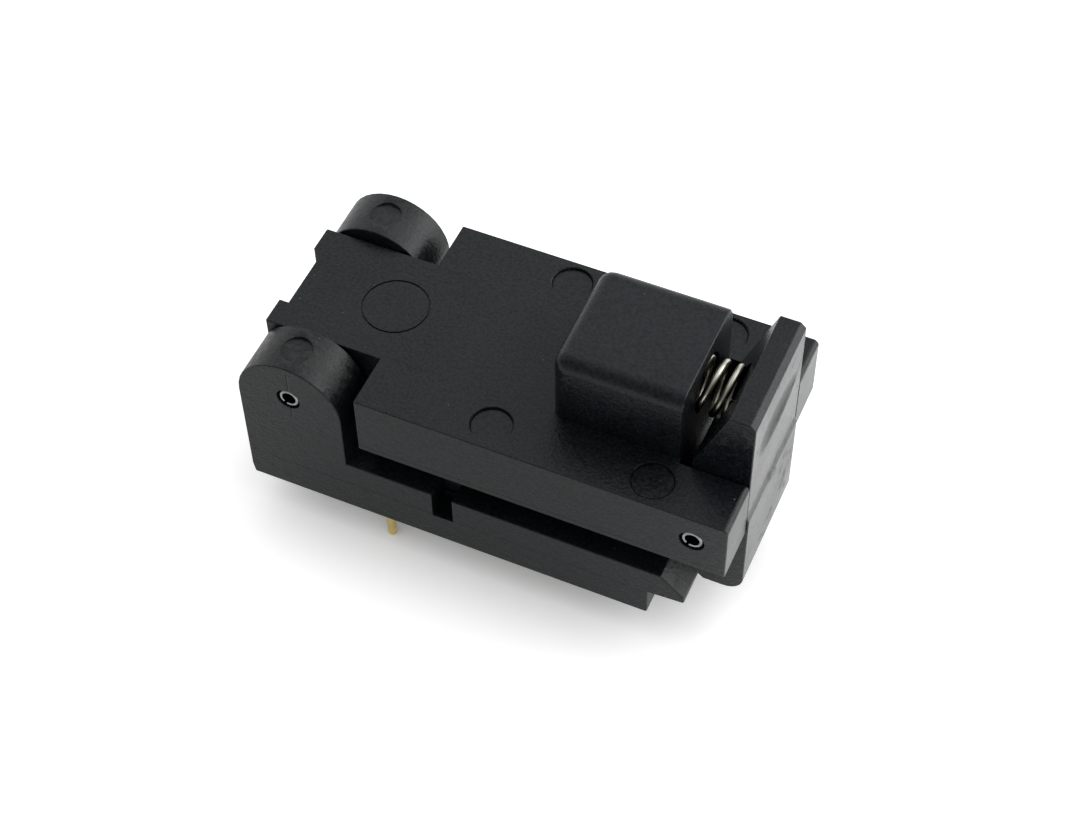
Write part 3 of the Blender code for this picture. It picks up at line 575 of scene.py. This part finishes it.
def fine_line_group():
    """A thin line where one coordinate has a set value, between two values of another."""
    sockets = {"Across": 0.0, "Along": 0.0, "Place": 0.0, "Width": 0.0001, "From": 0.0, "To": 0.001}
    group, start, end = new_group("fine_line", sockets, ("Mask",))
    wobble = noise(group, object_place(group), 1.0 / MILLIMETRE, detail=3.0, roughness=0.6)
    shift = math_node(group, "MULTIPLY", math_node(group, "SUBTRACT", wobble, 0.5), 2.0)
    shift = math_node(group, "MULTIPLY", shift, start.outputs["Width"])
    across = math_node(group, "SUBTRACT", start.outputs["Across"], start.outputs["Place"])
    distance = math_node(group, "ABSOLUTE", math_node(group, "ADD", across, shift))
    line = map_range(group, distance, start.outputs["Width"], 0.0)
    after = math_node(group, "GREATER_THAN", start.outputs["Along"], start.outputs["From"])
    before = math_node(group, "LESS_THAN", start.outputs["Along"], start.outputs["To"])
    inside = math_node(group, "MULTIPLY", after, before)
    group.links.new(math_node(group, "MULTIPLY", line, inside), end.inputs["Mask"])
    return group


def scuff_group():
    """Rubbed dapples that handling leaves."""
    group, start, end = new_group("scuffs", {"Size": 0.0004, "Amount": 0.5}, ("Mask",))
    place = object_place(group)
    scale = math_node(group, "DIVIDE", 1.0, start.outputs["Size"])
    broad = noise(group, place, math_node(group, "MULTIPLY", scale, SCUFF_SCALE))
    fine = noise(group, place, scale, detail=5.0, roughness=0.65)
    level = math_node(group, "ADD", math_node(group, "MULTIPLY", broad, SCUFF_WEIGHT), fine)
    level = math_node(group, "MULTIPLY_ADD", start.outputs["Amount"], SCUFF_LIFT, level)
    group.links.new(map_range(group, level, low=0.92, high=1.12), end.inputs["Mask"])
    return group


def drawn_streak_group():
    """Scuffs and small pits that drawing and handling leave on metal."""
    group, start, end = new_group("drawn_streaks", {"Size": 0.0002}, ("Height", "Stain"))
    place = object_place(group)
    scale = math_node(group, "DIVIDE", 1.0, start.outputs["Size"])
    group.links.new(noise(group, place, scale, detail=4.0, roughness=0.6), end.inputs["Height"])
    broad = math_node(group, "MULTIPLY", scale, STAIN_SCALE)
    stain = noise(group, place, broad, detail=3.0, roughness=0.6)
    group.links.new(map_range(group, stain, low=0.35, high=0.75), end.inputs["Stain"])
    return group


GROUPS = {}


def shared(name):
    """A shared group, made the first time that a material asks for it."""
    makers = {
        "moulded_grain": moulded_grain_group,
        "worn_edge": worn_edge_group,
        "settled_dust": dust_group,
        "fine_line": fine_line_group,
        "scuffs": scuff_group,
        "drawn_streaks": drawn_streak_group,
    }
    if name not in GROUPS:
        GROUPS[name] = makers[name]()
    return GROUPS[name]


# Materials


def new_material(name):
    """A material with its tree and its Principled shader."""
    made = bpy.data.materials.new(name)
    made.use_nodes = True
    tree = made.node_tree
    shader = tree.nodes["Principled BSDF"]
    return made, tree, shader


def axes_of(tree):
    """The three coordinates of a point on the piece at rest."""
    split = add_node(tree, "ShaderNodeSeparateXYZ")
    tree.links.new(object_place(tree), split.inputs[0])
    return split.outputs


def line_mask(tree, across, along, place, width, start, end):
    """A fine line at a place across, from a start to an end along."""
    return use_group(
        tree,
        shared("fine_line"),
        Across=across,
        Along=along,
        Place=place,
        Width=width,
        From=start,
        To=end,
    ).outputs["Mask"]


def black_moulding(name, roughness=None, marks=None, scuffs=None):
    """Black moulding compound. marks gives the masks of its fine lines, scuffs that of its wear."""
    look = settings("socket_moulding")
    made, tree, shader = new_material(name)
    grain = use_group(tree, shared("moulded_grain"), Grain_size=look.grain_size)
    wear = use_group(tree, shared("worn_edge"), Width=look.wear_width, Breakup=0.0009).outputs["Mask"]
    dust = use_group(tree, shared("settled_dust"), Cell=0.0008, Amount=0.13).outputs["Mask"]
    patches = grain.outputs["Patches"]
    tone = math_node(tree, "MULTIPLY_ADD", patches, PATCH_TONE, -PATCH_TONE / 2)
    tone = math_node(tree, "ADD", grain.outputs["Mottle"], tone, clamp=True)
    darkest, palest = (opaque(look.colour, share) for share in MOTTLE_SHARES)
    colour = mix_colour(tree, tone, darkest, palest)
    worn = math_node(tree, "MULTIPLY", wear, WORN_STRENGTH)
    colour = mix_colour(tree, worn, colour, opaque(look.colour, WORN_SHARE))
    height = grain.outputs["Height"]
    for mask in marks(tree) if marks else ():
        line = math_node(tree, "MULTIPLY", mask, LINE_STRENGTH)
        colour = mix_colour(tree, line, colour, opaque(look.colour, LINE_SHARE))
        height = math_node(tree, "SUBTRACT", height, math_node(tree, "MULTIPLY", mask, LINE_DEPTH))
    specks = math_node(tree, "MULTIPLY", dust, DUST_STRENGTH)
    colour = mix_colour(tree, specks, colour, opaque(look.dust_colour))
    shader.inputs["Specular IOR Level"].default_value = look.shine
    least = (roughness or look.roughness) - PATCH_ROUGHNESS / 2
    rough = math_node(tree, "MULTIPLY_ADD", patches, PATCH_ROUGHNESS, least)
    if scuffs:
        rubbed = scuffs(tree)
        paler = math_node(tree, "MULTIPLY", rubbed, SCUFF_STRENGTH)
        colour = mix_colour(tree, paler, colour, opaque(look.dust_colour, SCUFF_DUST_SHARE))
        rough = math_node(tree, "MULTIPLY_ADD", rubbed, SCUFF_ROUGHNESS, rough)
    tree.links.new(colour, shader.inputs["Base Color"])
    tree.links.new(rough, shader.inputs["Roughness"])
    bump = add_node(tree, "ShaderNodeBump", {"Strength": 1.0, "Distance": look.grain_depth})
    tree.links.new(height, bump.inputs["Height"])
    tree.links.new(bump.outputs["Normal"], shader.inputs["Normal"])
    return made


def metal(name, colour, roughness, streak_size, stain=0.75, painted_shade_reach=0.0):
    """Bare or plated metal with fine scuffs and stains. Its last argument paints shade into hollows as
    deep as that, as a darker colour.
    """
    made, tree, shader = new_material(name)
    shader.inputs["Metallic"].default_value = 1.0
    streaks = use_group(tree, shared("drawn_streaks"), Size=streak_size)
    tone = mix_colour(tree, streaks.outputs["Stain"], opaque(colour), opaque(colour, stain))
    # Painted shade: where ambient occlusion finds a place hollow, the colour darkens to a small share of
    # itself, in place of the shadow there
    if painted_shade_reach:
        depth = add_node(tree, "ShaderNodeAmbientOcclusion", {"Distance": painted_shade_reach})
        open_part = map_range(tree, depth.outputs["AO"], *PAINTED_SHADE_FADE)
        tone = mix_colour(tree, open_part, opaque(colour, PAINTED_SHADE_SHARE), tone)
    tree.links.new(tone, shader.inputs["Base Color"])
    rough = math_node(tree, "MULTIPLY_ADD", streaks.outputs["Stain"], STAIN_ROUGHNESS, roughness)
    tree.links.new(rough, shader.inputs["Roughness"])
    bump = add_node(tree, "ShaderNodeBump", {"Strength": 1.0, "Distance": STREAK_DEPTH})
    tree.links.new(streaks.outputs["Height"], bump.inputs["Height"])
    tree.links.new(bump.outputs["Normal"], shader.inputs["Normal"])
    return made


# Meshes


def add_piece(name, mesh, material, body, slot, *nodes):
    """A finished piece that rides on a body and stands for its solids."""
    piece = bpy.data.objects.new(name, mesh)
    bpy.context.scene.collection.objects.link(piece)
    mesh.materials.clear()
    mesh.materials.append(material)
    if body:
        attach(piece, body)
    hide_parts(*nodes)
    return piece


def welded_copy(node, name):
    """The solid's mesh with its facets welded and its flat faces made whole."""
    shape = bmesh.new()
    shape.from_mesh(frame["nodes"][node].data)
    bmesh.ops.remove_doubles(shape, verts=shape.verts, dist=MERGE_DISTANCE)
    bmesh.ops.dissolve_limit(shape, angle_limit=FLAT_ANGLE, verts=shape.verts, edges=shape.edges)
    mesh = bpy.data.meshes.new(name)
    shape.to_mesh(mesh)
    shape.free()
    return mesh


def round_edges(piece, width):
    """Rounds the edges that are still sharp, and shades the round faces smooth."""
    piece.data.shade_smooth()
    step = piece.modifiers.new("edges", "BEVEL")
    step.width = width
    step.segments = EDGE_STEPS
    step.limit_method = "ANGLE"
    step.angle_limit = SMOOTH_ANGLE
    step.harden_normals = False
    smooth = piece.modifiers.new("normals", "WEIGHTED_NORMAL")
    smooth.keep_sharp = True


def dressed_solid(node, name, material, slot, edge):
    """Makes a piece with its solid's own shape, with rounded edges and its own finish."""
    mesh = welded_copy(node, name)
    piece = add_piece(name, mesh, material, frame["nodes"][node]["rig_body"], slot, node)
    round_edges(piece, edge)


def wire_mesh(name, points, radius, sides=16):
    """A round wire through the points, with closed ends."""
    data = bpy.data.curves.new(name, "CURVE")
    data.dimensions = "3D"
    data.bevel_depth = radius
    data.bevel_resolution = (sides - 4) // 2
    data.use_fill_caps = True
    spline = data.splines.new("POLY")
    spline.points.add(len(points) - 1)
    for point, place in zip(spline.points, points):
        point.co = (*place, 1)
    spline.use_smooth = True
    curve = bpy.data.objects.new(name, data)
    bpy.context.scene.collection.objects.link(curve)
    bpy.context.view_layer.update()
    graph = bpy.context.evaluated_depsgraph_get()
    mesh = bpy.data.meshes.new_from_object(curve.evaluated_get(graph))
    bpy.data.objects.remove(curve)
    shape = bmesh.new()
    shape.from_mesh(mesh)
    bmesh.ops.remove_doubles(shape, verts=shape.verts, dist=MERGE_DISTANCE)
    shape.to_mesh(mesh)
    shape.free()
    mesh.shade_smooth()
    mesh.set_sharp_from_angle(angle=SMOOTH_ANGLE)
    return mesh


def helix(start, end, radius, coils, close, phase, steps=COIL_STEPS):
    """Points of a left-hand spring. close is the rise of each of its two end turns."""
    axis = Vector(end) - Vector(start)
    side = axis.orthogonal().normalized()
    other = side.cross(axis).normalized()
    count = round(coils * steps)
    points = []
    for i in range(count + 1):
        turn = i / steps
        open_turns = min(max(turn - 1, 0), coils - 2)
        rise = close * (turn - open_turns) + (axis.length - 2 * close) * open_turns / (coils - 2)
        angle = 2 * math.pi * turn + phase
        offset = (side * math.cos(angle) + other * math.sin(angle)) * radius
        points.append(Vector(start) + axis.normalized() * rise + offset)
    return points


def lean_coils(points, start, end, lean, sag):
    """Leans the coils between a lying spring's upright ends, and lets its far end sag."""
    length = end.x - start.x
    for point in points:
        share = (point.x - start.x) / length
        upright = min(share / LEAN_START, (1 - share) / LEAN_END, 1)
        point.x += math.tan(lean) * max(upright, 0) * (point.z - start.z)
        point.z -= sag * share ** 2


def grind_ends(mesh, axis, low, high):
    """Flattens the two ends of a spring on the planes that they stand on."""
    for vert in mesh.vertices:
        vert.co[axis] = min(max(vert.co[axis], low), high)


def turned_mesh(name, profile, centre, sides):
    """A shape turned about a vertical axis from (radius, height) points, top to bottom."""
    shape = bmesh.new()
    rings = []
    for radius, height in profile:
        if radius == 0:
            rings.append([shape.verts.new((centre[0], centre[1], height))])
            continue
        ring = []
        for i in range(sides):
            angle = 2 * math.pi * i / sides
            across = centre[0] + radius * math.cos(angle)
            ring.append(shape.verts.new((across, centre[1] + radius * math.sin(angle), height)))
        rings.append(ring)
    for upper, lower in zip(rings, rings[1:]):
        for i in range(sides):
            after = (i + 1) % sides
            if len(upper) == 1:
                shape.faces.new((upper[0], lower[i], lower[after]))
            elif len(lower) == 1:
                shape.faces.new((upper[i], lower[0], upper[after]))
            else:
                shape.faces.new((upper[i], lower[i], lower[after], upper[after]))
    mesh = bpy.data.meshes.new(name)
    shape.to_mesh(mesh)
    shape.free()
    mesh.shade_smooth()
    mesh.set_sharp_from_angle(angle=TURNED_ANGLE)
    return mesh


# Mouldings


def base_marks(tree):
    """The parting line along the side rails, and the weld lines above and below the near pin."""
    x, y, z = axes_of(tree)
    low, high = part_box("hinge_pin")
    centre = (low + high) / 2
    base_low, base_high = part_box("base_housing")
    tilt = math_node(tree, "MULTIPLY_ADD", x, BASE_PARTING_TILT, z)
    yield line_mask(tree, tilt, x, BASE_PARTING, PARTING_WIDTH, base_low.x, base_high.x)
    lean = math_node(tree, "MULTIPLY_ADD", z, WELD_LEAN, x)
    pin_place = centre.x + WELD_LEAN * centre.z
    near = math_node(tree, "LESS_THAN", y, base_low.y + WELD_FACE)
    for across, start, end in WELD_LINES:
        ends = (centre.z + start, centre.z + end)
        line = line_mask(tree, lean, z, pin_place + across, WELD_WIDTH, *ends)
        yield math_node(tree, "MULTIPLY", line, near)


def base_scuffs(tree):
    """Wear on the round tops of the ears and on the catch lip's ramp."""
    rubbed = use_group(tree, shared("scuffs"), Size=0.0005, Amount=0.75).outputs["Mask"]
    place = axes_of(tree)
    pin_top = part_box("hinge_pin")[1].z
    lip_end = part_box("base_housing")[1].x
    ears = map_range(tree, place["Z"], pin_top - EAR_WEAR, pin_top + EAR_WEAR)
    lip = map_range(tree, place["X"], lip_end - LIP_WEAR[0], lip_end - LIP_WEAR[1])
    even = math_node(tree, "MULTIPLY", lip, LIP_EVEN)
    worn = math_node(tree, "MULTIPLY_ADD", rubbed, ears, even)
    return math_node(tree, "MULTIPLY_ADD", rubbed, lip, worn, clamp=True)


def lever_scuffs(tree):
    """Light wear all over the lever."""
    return use_group(tree, shared("scuffs"), Size=0.0009, Amount=0.1).outputs["Mask"]


def lid_marks(tree):
    """The parting line round the lid's sides, and the rings round its ejector marks."""
    x, y, z = axes_of(tree)
    low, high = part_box("lid")
    yield line_mask(tree, z, x, LID_PARTING, PARTING_WIDTH, low.x, high.x)
    band = [LID_TOP + shift for shift in LID_TOP_BAND]
    far = math_node(tree, "ABSOLUTE", y)
    for place in EJECTOR_X:
        along = math_node(tree, "SUBTRACT", x, place)
        across = math_node(tree, "SUBTRACT", far, high.y - EJECTOR_INSET)
        square = math_node(tree, "MULTIPLY", across, across)
        square = math_node(tree, "ADD", math_node(tree, "MULTIPLY", along, along), square)
        reach = math_node(tree, "SQRT", square)
        yield line_mask(tree, reach, z, EJECTOR_RADIUS, RING_WIDTH, *band)


class SOCKET_OT_base(bpy.types.Operator):
    """Finish the base with its hinge ears and catch lip"""

    bl_idname = "test_socket.base"
    bl_label = "Base"

    def execute(self, context):
        look = settings("socket_moulding")
        material = black_moulding("base_compound", marks=base_marks, scuffs=base_scuffs)
        dressed_solid("base_housing", "base", material, "moulded_black", look.edge_round)
        return {"FINISHED"}


class SOCKET_OT_lid(bpy.types.Operator):
    """Finish the lid with its spring box and hinge tongue"""

    bl_idname = "test_socket.lid"
    bl_label = "Lid"

    def execute(self, context):
        look = settings("socket_moulding")
        material = black_moulding("lid_compound", marks=lid_marks)
        dressed_solid("lid", "lid_shell", material, "moulded_black", look.edge_round)
        return {"FINISHED"}


class SOCKET_OT_lever(bpy.types.Operator):
    """Finish the latch lever, a little glossier where thumbs rub it"""

    bl_idname = "test_socket.lever"
    bl_label = "Latch lever"

    def execute(self, context):
        look = settings("socket_moulding")
        smooth = look.roughness - GLOSS_STEP
        material = black_moulding("lever_compound", roughness=smooth, scuffs=lever_scuffs)
        dressed_solid("latch_lever", "lever", material, "moulded_black", look.edge_round)
        return {"FINISHED"}


class SOCKET_OT_inner_mouldings(bpy.types.Operator):
    """Finish the contact carrier, the device nest and the pressure pad"""

    bl_idname = "test_socket.inner_mouldings"
    bl_label = "Inner mouldings"

    def execute(self, context):
        look = settings("socket_moulding")
        material = black_moulding("insert_compound", roughness=look.roughness + GLOSS_STEP)
        for node, name in (
            ("contact_carrier", "carrier"),
            ("device_nest", "nest"),
            ("pressure_pad", "pad"),
        ):
            dressed_solid(node, name, material, "moulded_black", look.edge_round / 2)
        return {"FINISHED"}


# Pins and springs


def rolled_pin(name, centre, radius, reach):
    """A pin rolled from strip, which is a slit tube with chamfered ends."""
    chamfer = STRIP / 2
    half_slit = math.asin(SLIT / 2 / radius)
    first = SLIT_ANGLE + half_slit
    last = SLIT_ANGLE + 2 * math.pi - half_slit
    inner = radius - STRIP
    stations = (
        (-reach, radius - chamfer),
        (chamfer - reach, radius),
        (reach - chamfer, radius),
        (reach, radius - chamfer),
    )
    shape = bmesh.new()
    loops = []
    for along, outer in stations:
        loop = []
        for turn in range(PIN_STEPS + 1):
            angle = first + (last - first) * turn / PIN_STEPS
            place = (centre.x + outer * math.cos(angle), along, centre.z + outer * math.sin(angle))
            loop.append(shape.verts.new(place))
        for turn in range(PIN_STEPS, -1, -1):
            angle = first + (last - first) * turn / PIN_STEPS
            place = (centre.x + inner * math.cos(angle), along, centre.z + inner * math.sin(angle))
            loop.append(shape.verts.new(place))
        loops.append(loop)
    count = len(loops[0])
    for here, there in zip(loops, loops[1:]):
        for i in range(count):
            after = (i + 1) % count
            shape.faces.new((here[i], here[after], there[after], there[i]))
    for loop, flip in ((loops[0], False), (loops[-1], True)):
        for turn in range(PIN_STEPS):
            corners = [loop[turn], loop[turn + 1], loop[count - 2 - turn], loop[count - 1 - turn]]
            shape.faces.new(corners[::-1] if flip else corners)
    bmesh.ops.recalc_face_normals(shape, faces=shape.faces)
    mesh = bpy.data.meshes.new(name)
    shape.to_mesh(mesh)
    shape.free()
    mesh.shade_smooth()
    mesh.set_sharp_from_angle(angle=TURNED_ANGLE)
    return mesh


class SOCKET_OT_roll_pins(bpy.types.Operator):
    """Make the hinge pin and the latch pin, both rolled from steel strip"""

    bl_idname = "test_socket.roll_pins"
    bl_label = "Roll pins"

    def execute(self, context):
        colour = settings("socket_metal").plate
        # The pins get painted shade, a darker colour, where they lie in hollows
        material = metal("rolled_steel", colour, 0.3, streak_size=0.0003, stain=0.5, painted_shade_reach=0.002)
        for node, name, body in (
            ("hinge_pin", "hinge_roll_pin", "base"),
            ("latch_pin", "latch_roll_pin", "lid"),
        ):
            low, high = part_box(node)
            radius = (high.z - low.z) / 2
            centre = Vector((low.x + radius, 0.0, low.z + radius))
            mesh = rolled_pin(name, centre, radius, high.y)
            add_piece(name, mesh, material, body, "spring_steel", node)
        return {"FINISHED"}


def spring_steel():
    """The steel of all the springs, made once."""
    name = "drawn_spring_steel"
    colour = settings("socket_metal").steel
    made = bpy.data.materials.get(name)
    # The coils get painted shade, a darker colour, where they lie deep, as inside the spring box's bore
    return made or metal(name, colour, 0.28, streak_size=0.00025, painted_shade_reach=0.0025)


class SOCKET_OT_latch_spring(bpy.types.Operator):
    """Wind the compression spring between the spring box and the lever"""

    bl_idname = "test_socket.latch_spring"
    bl_label = "Latch spring"

    def execute(self, context):
        sizes = settings("socket_springs")
        wire = sizes.latch_wire / 2
        low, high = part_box("latch_spring")
        centre = (low + high) / 2
        start = Vector((low.x + wire, 0.0, centre.z))
        end = Vector((high.x - wire, 0.0, centre.z))
        close = CLOSE_TURN * wire
        points = helix(start, end, sizes.latch_radius, sizes.latch_coils, close, sizes.latch_turn)
        lean_coils(points, start, end, sizes.latch_lean, sizes.latch_sag)
        mesh = wire_mesh("latch_coil", points, wire)
        grind_ends(mesh, 0, low.x + wire / 2, high.x - wire / 2)
        piece = add_piece("latch_coil", mesh, spring_steel(), None, "spring_steel", "latch_spring")
        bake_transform(piece)
        return {"FINISHED"}


def torsion_spring(centre, radius, length, rest, coils, reach):
    """A coil round the pin, with its first leg down to the base and its last along under the lid."""
    toward = rest - centre
    lean = math.acos(radius / toward.length)
    start = math.atan2(toward.z, toward.x) - lean
    sweep = start - math.pi / 2 + 2 * math.pi * coils
    steps = SMALL_COIL_STEPS * coils
    points = [rest + Vector((0, length / 2, 0))]
    for i in range(steps + 1):
        angle = start - sweep * i / steps
        offset = Vector((math.cos(angle), 0, math.sin(angle))) * radius
        points.append(centre + offset + Vector((0, length * (0.5 - i / steps), 0)))
    points.append(Vector((reach, points[-1].y, points[-1].z)))
    return points


class SOCKET_OT_hinge_spring(bpy.types.Operator):
    """Wind the torsion spring that throws the lid open"""

    bl_idname = "test_socket.hinge_spring"
    bl_label = "Hinge spring"

    def execute(self, context):
        sizes = settings("socket_springs")
        wire = sizes.hinge_wire / 2
        low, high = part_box("hinge_spring")
        pin_low, pin_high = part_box("hinge_pin")
        pin = (pin_low + pin_high) / 2
        centre = Vector((pin.x, 0.0, pin.z))
        radius = high.z - pin.z - wire
        length = high.y - low.y - 2 * wire
        reach = high.x - wire
        rest = Vector((reach, 0.0, low.z + wire))
        points = torsion_spring(centre, radius, length, rest, sizes.hinge_coils, reach)
        mesh = wire_mesh("hinge_coil", points, wire, SMALL_WIRE_SIDES)
        piece = add_piece("hinge_coil", mesh, spring_steel(), None, "spring_steel", "hinge_spring")
        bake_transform(piece)
        return {"FINISHED"}


class SOCKET_OT_pad_springs(bpy.types.Operator):
    """Wind the two springs that carry the pressure pad"""

    bl_idname = "test_socket.pad_springs"
    bl_label = "Pad springs"

    def execute(self, context):
        sizes = settings("socket_springs")
        wire = sizes.pad_wire / 2
        for number in (1, 2):
            node = f"pad_spring_{number}"
            low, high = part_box(node)
            centre = (low + high) / 2
            radius = (high.y - low.y) / 2 - wire
            start = Vector((centre.x, 0.0, low.z + wire))
            end = Vector((centre.x, 0.0, high.z - wire))
            close = CLOSE_TURN * wire
            points = helix(start, end, radius, sizes.pad_coils, close, 0.0, SMALL_COIL_STEPS)
            name = f"pad_coil_{number}"
            mesh = wire_mesh(name, points, wire, SMALL_WIRE_SIDES)
            piece = add_piece(name, mesh, spring_steel(), None, "spring_steel", node)
            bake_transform(piece)
        return {"FINISHED"}


# Contacts and fasteners


def rounded_end(radius, point, low):
    """The last points of a turned pin, a quarter round down to its flat end."""
    steps = 6
    points = []
    for i in range(1, steps + 1):
        angle = math.pi / 2 * i / steps
        points.append((radius - point + point * math.cos(angle), low + point - point * math.sin(angle)))
    points.append((0, low))
    return points


class SOCKET_OT_contacts(bpy.types.Operator):
    """Finish the plated contacts and turn the index pin"""

    bl_idname = "test_socket.contacts"
    bl_label = "Contacts"

    def execute(self, context):
        colour = settings("socket_metal").gold
        material = metal("gold_plating", colour, 0.28, streak_size=0.00015, stain=0.85)
        for node in sorted(frame["nodes"]):
            if node.startswith("contact_") and node != "contact_carrier":
                name = node.replace("contact_", "contact_strip_")
                dressed_solid(node, name, material, "contact_gold", CONTACT_EDGE)
        low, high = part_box("index_pin")
        centre = (low + high) / 2
        radius = (high.x - low.x) / 2
        point = radius / 2
        profile = [(0, high.z), (radius, high.z), (radius, low.z + point)]
        profile += rounded_end(radius, point, low.z)
        mesh = turned_mesh("locating_pin", profile, centre, PIN_STEPS)
        add_piece("locating_pin", mesh, material, "base", "contact_gold", "index_pin")
        return {"FINISHED"}


class SOCKET_OT_retainer(bpy.types.Operator):
    """Finish the pad's retainer plate and its four screws"""

    bl_idname = "test_socket.retainer"
    bl_label = "Retainer and screws"

    def execute(self, context):
        colour = settings("socket_metal").plate
        plate = metal("plate_steel", colour, 0.34, streak_size=0.0004)
        dressed_solid("pad_retainer", "retainer_plate", plate, "screw_steel", PLATE_EDGE)
        screw = metal("screw_steel", colour, 0.26, streak_size=0.0002, stain=0.6)
        for number in range(1, 5):
            node = f"retainer_screw_{number}"
            dressed_solid(node, f"plate_screw_{number}", screw, "screw_steel", SCREW_EDGE)
        return {"FINISHED"}


# Stage


def add_camera(look):
    """The camera at the photo's viewing angle, without depth of field."""
    data = bpy.data.cameras.new("camera")
    data.lens = look.lens
    data.sensor_fit = "HORIZONTAL"
    data.sensor_width = SENSOR_WIDTH
    data.clip_start = MILLIMETRE
    camera = bpy.data.objects.new("camera", data)
    bpy.context.scene.collection.objects.link(camera)
    camera.location = CAMERA_PLACE
    camera.rotation_euler = Euler(CAMERA_TURN, "XYZ")
    bpy.context.scene.camera = camera


def add_floor(look):
    """A wide pale floor that keeps the shadow, darkened near the object by a painted shadow, and fades to
    white.
    """
    shape = bmesh.new()
    bmesh.ops.create_grid(shape, x_segments=1, y_segments=1, size=FLOOR_HALF)
    mesh = bpy.data.meshes.new("floor")
    shape.to_mesh(mesh)
    shape.free()
    floor = bpy.data.objects.new("floor", mesh)
    bpy.context.scene.collection.objects.link(floor)
    floor.location.z = -look.floor_drop
    made, tree, shader = new_material("pale_floor")
    shader.inputs["Base Color"].default_value = opaque(FLOOR_COLOUR)
    shader.inputs["Roughness"].default_value = FLOOR_ROUGHNESS
    shader.inputs["Specular IOR Level"].default_value = 0.0
    shader.inputs["Emission Color"].default_value = WHITE
    rays = add_node(tree, "ShaderNodeLightPath").outputs
    along = axes_of(tree)["X"]
    # Painted light: beyond the latch the floor glows brighter in mirrors, in place of the side light
    # falling on the floor there
    beyond = map_range(tree, along, *LATCH_GLOW, look.mirror_glow, look.latch_glow)
    # Painted shadow: near the object the floor's glow to the camera dims by ambient occlusion
    open_sky = add_node(tree, "ShaderNodeAmbientOcclusion", {"Distance": PAINTED_SHADOW_REACH})
    seen = math_node(tree, "MULTIPLY", open_sky.outputs["AO"], look.floor_glow)
    mirrored = math_node(tree, "MAXIMUM", rays["Is Glossy Ray"], rays["Is Transmission Ray"])
    glow = math_node(tree, "MULTIPLY", mirrored, beyond)
    glow = math_node(tree, "MULTIPLY_ADD", rays["Is Camera Ray"], seen, glow)
    tree.links.new(glow, shader.inputs["Emission Strength"])
    mesh.materials.append(made)


def add_room(look):
    """White to the camera; plain light all round, dimmer in front, with two broad soft lights."""
    world = bpy.data.worlds.new("studio")
    bpy.context.scene.world = world
    world.use_nodes = True
    tree = world.node_tree
    backdrop = tree.nodes["Background"]
    split = add_node(tree, "ShaderNodeSeparateXYZ")
    direction = add_node(tree, "ShaderNodeTexCoord").outputs["Generated"]
    tree.links.new(direction, split.inputs[0])
    front = map_range(tree, split.outputs["Y"], *FRONT_FADE, look.front_share, 1.0)
    level = math_node(tree, "MULTIPLY", front, look.sky_level)
    for toward, brightness in ((LOW_LIGHT, look.side_level), (HIGH_LIGHT, look.key_level)):
        nearness = add_node(tree, "ShaderNodeVectorMath", {1: toward}, operation="DOT_PRODUCT")
        tree.links.new(direction, nearness.inputs[0])
        patch = map_range(tree, nearness.outputs["Value"], *LIGHT_FADE)
        level = math_node(tree, "MULTIPLY_ADD", patch, brightness, level)
    camera = add_node(tree, "ShaderNodeLightPath").outputs["Is Camera Ray"]
    strength = add_node(tree, "ShaderNodeMix", data_type="FLOAT")
    tree.links.new(camera, strength.inputs["Factor"])
    tree.links.new(level, strength.inputs["A"])
    strength.inputs["B"].default_value = 1.0
    tree.links.new(strength.outputs["Result"], backdrop.inputs["Strength"])
    backdrop.inputs["Color"].default_value = WHITE


class SOCKET_OT_stage(bpy.types.Operator):
    """Set up the camera, the pale floor and the room light"""

    bl_idname = "test_socket.stage"
    bl_label = "Stage"

    def execute(self, context):
        look = settings("socket_stage")
        add_camera(look)
        add_floor(look)
        add_room(look)
        context.scene.view_settings.view_transform = "Standard"
        return {"FINISHED"}


# Panel and registration


class SOCKET_PT_panel(bpy.types.Panel):
    """Lists the pieces and their settings"""

    bl_idname = "SOCKET_PT_panel"
    bl_label = "Test socket"
    bl_space_type = "VIEW_3D"
    bl_region_type = "UI"
    bl_category = "Test socket"

    def draw(self, context):
        column = self.layout.column()
        for group in SETTINGS:
            values = getattr(context.scene, group)
            for name in values.__annotations__:
                column.prop(values, name)
        for operator in OPERATORS:
            column.operator(operator.bl_idname)


SETTINGS = {
    "socket_moulding": MouldingLook,
    "socket_metal": MetalLook,
    "socket_springs": SpringSizes,
    "socket_stage": StageSettings,
}
OPERATORS = (
    SOCKET_OT_stage,
    SOCKET_OT_base,
    SOCKET_OT_lid,
    SOCKET_OT_lever,
    SOCKET_OT_inner_mouldings,
    SOCKET_OT_roll_pins,
    SOCKET_OT_latch_spring,
    SOCKET_OT_hinge_spring,
    SOCKET_OT_pad_springs,
    SOCKET_OT_contacts,
    SOCKET_OT_retainer,
)


def register():
    """Registers the settings, the operators and the panel."""
    for name, group in SETTINGS.items():
        bpy.utils.register_class(group)
        setattr(bpy.types.Scene, name, PointerProperty(type=group))
    for operator in OPERATORS:
        bpy.utils.register_class(operator)
    bpy.utils.register_class(SOCKET_PT_panel)


def unregister():
    """Takes out what register put in."""
    bpy.utils.unregister_class(SOCKET_PT_panel)
    for operator in reversed(OPERATORS):
        bpy.utils.unregister_class(operator)
    for name, group in reversed(SETTINGS.items()):
        delattr(bpy.types.Scene, name)
        bpy.utils.unregister_class(group)


def main():
    """Makes the stage and all the pieces."""
    register()
    for operator in OPERATORS:
        group, name = operator.bl_idname.split(".")
        getattr(getattr(bpy.ops, group), name)()


if __name__ == "__main__":
    main()
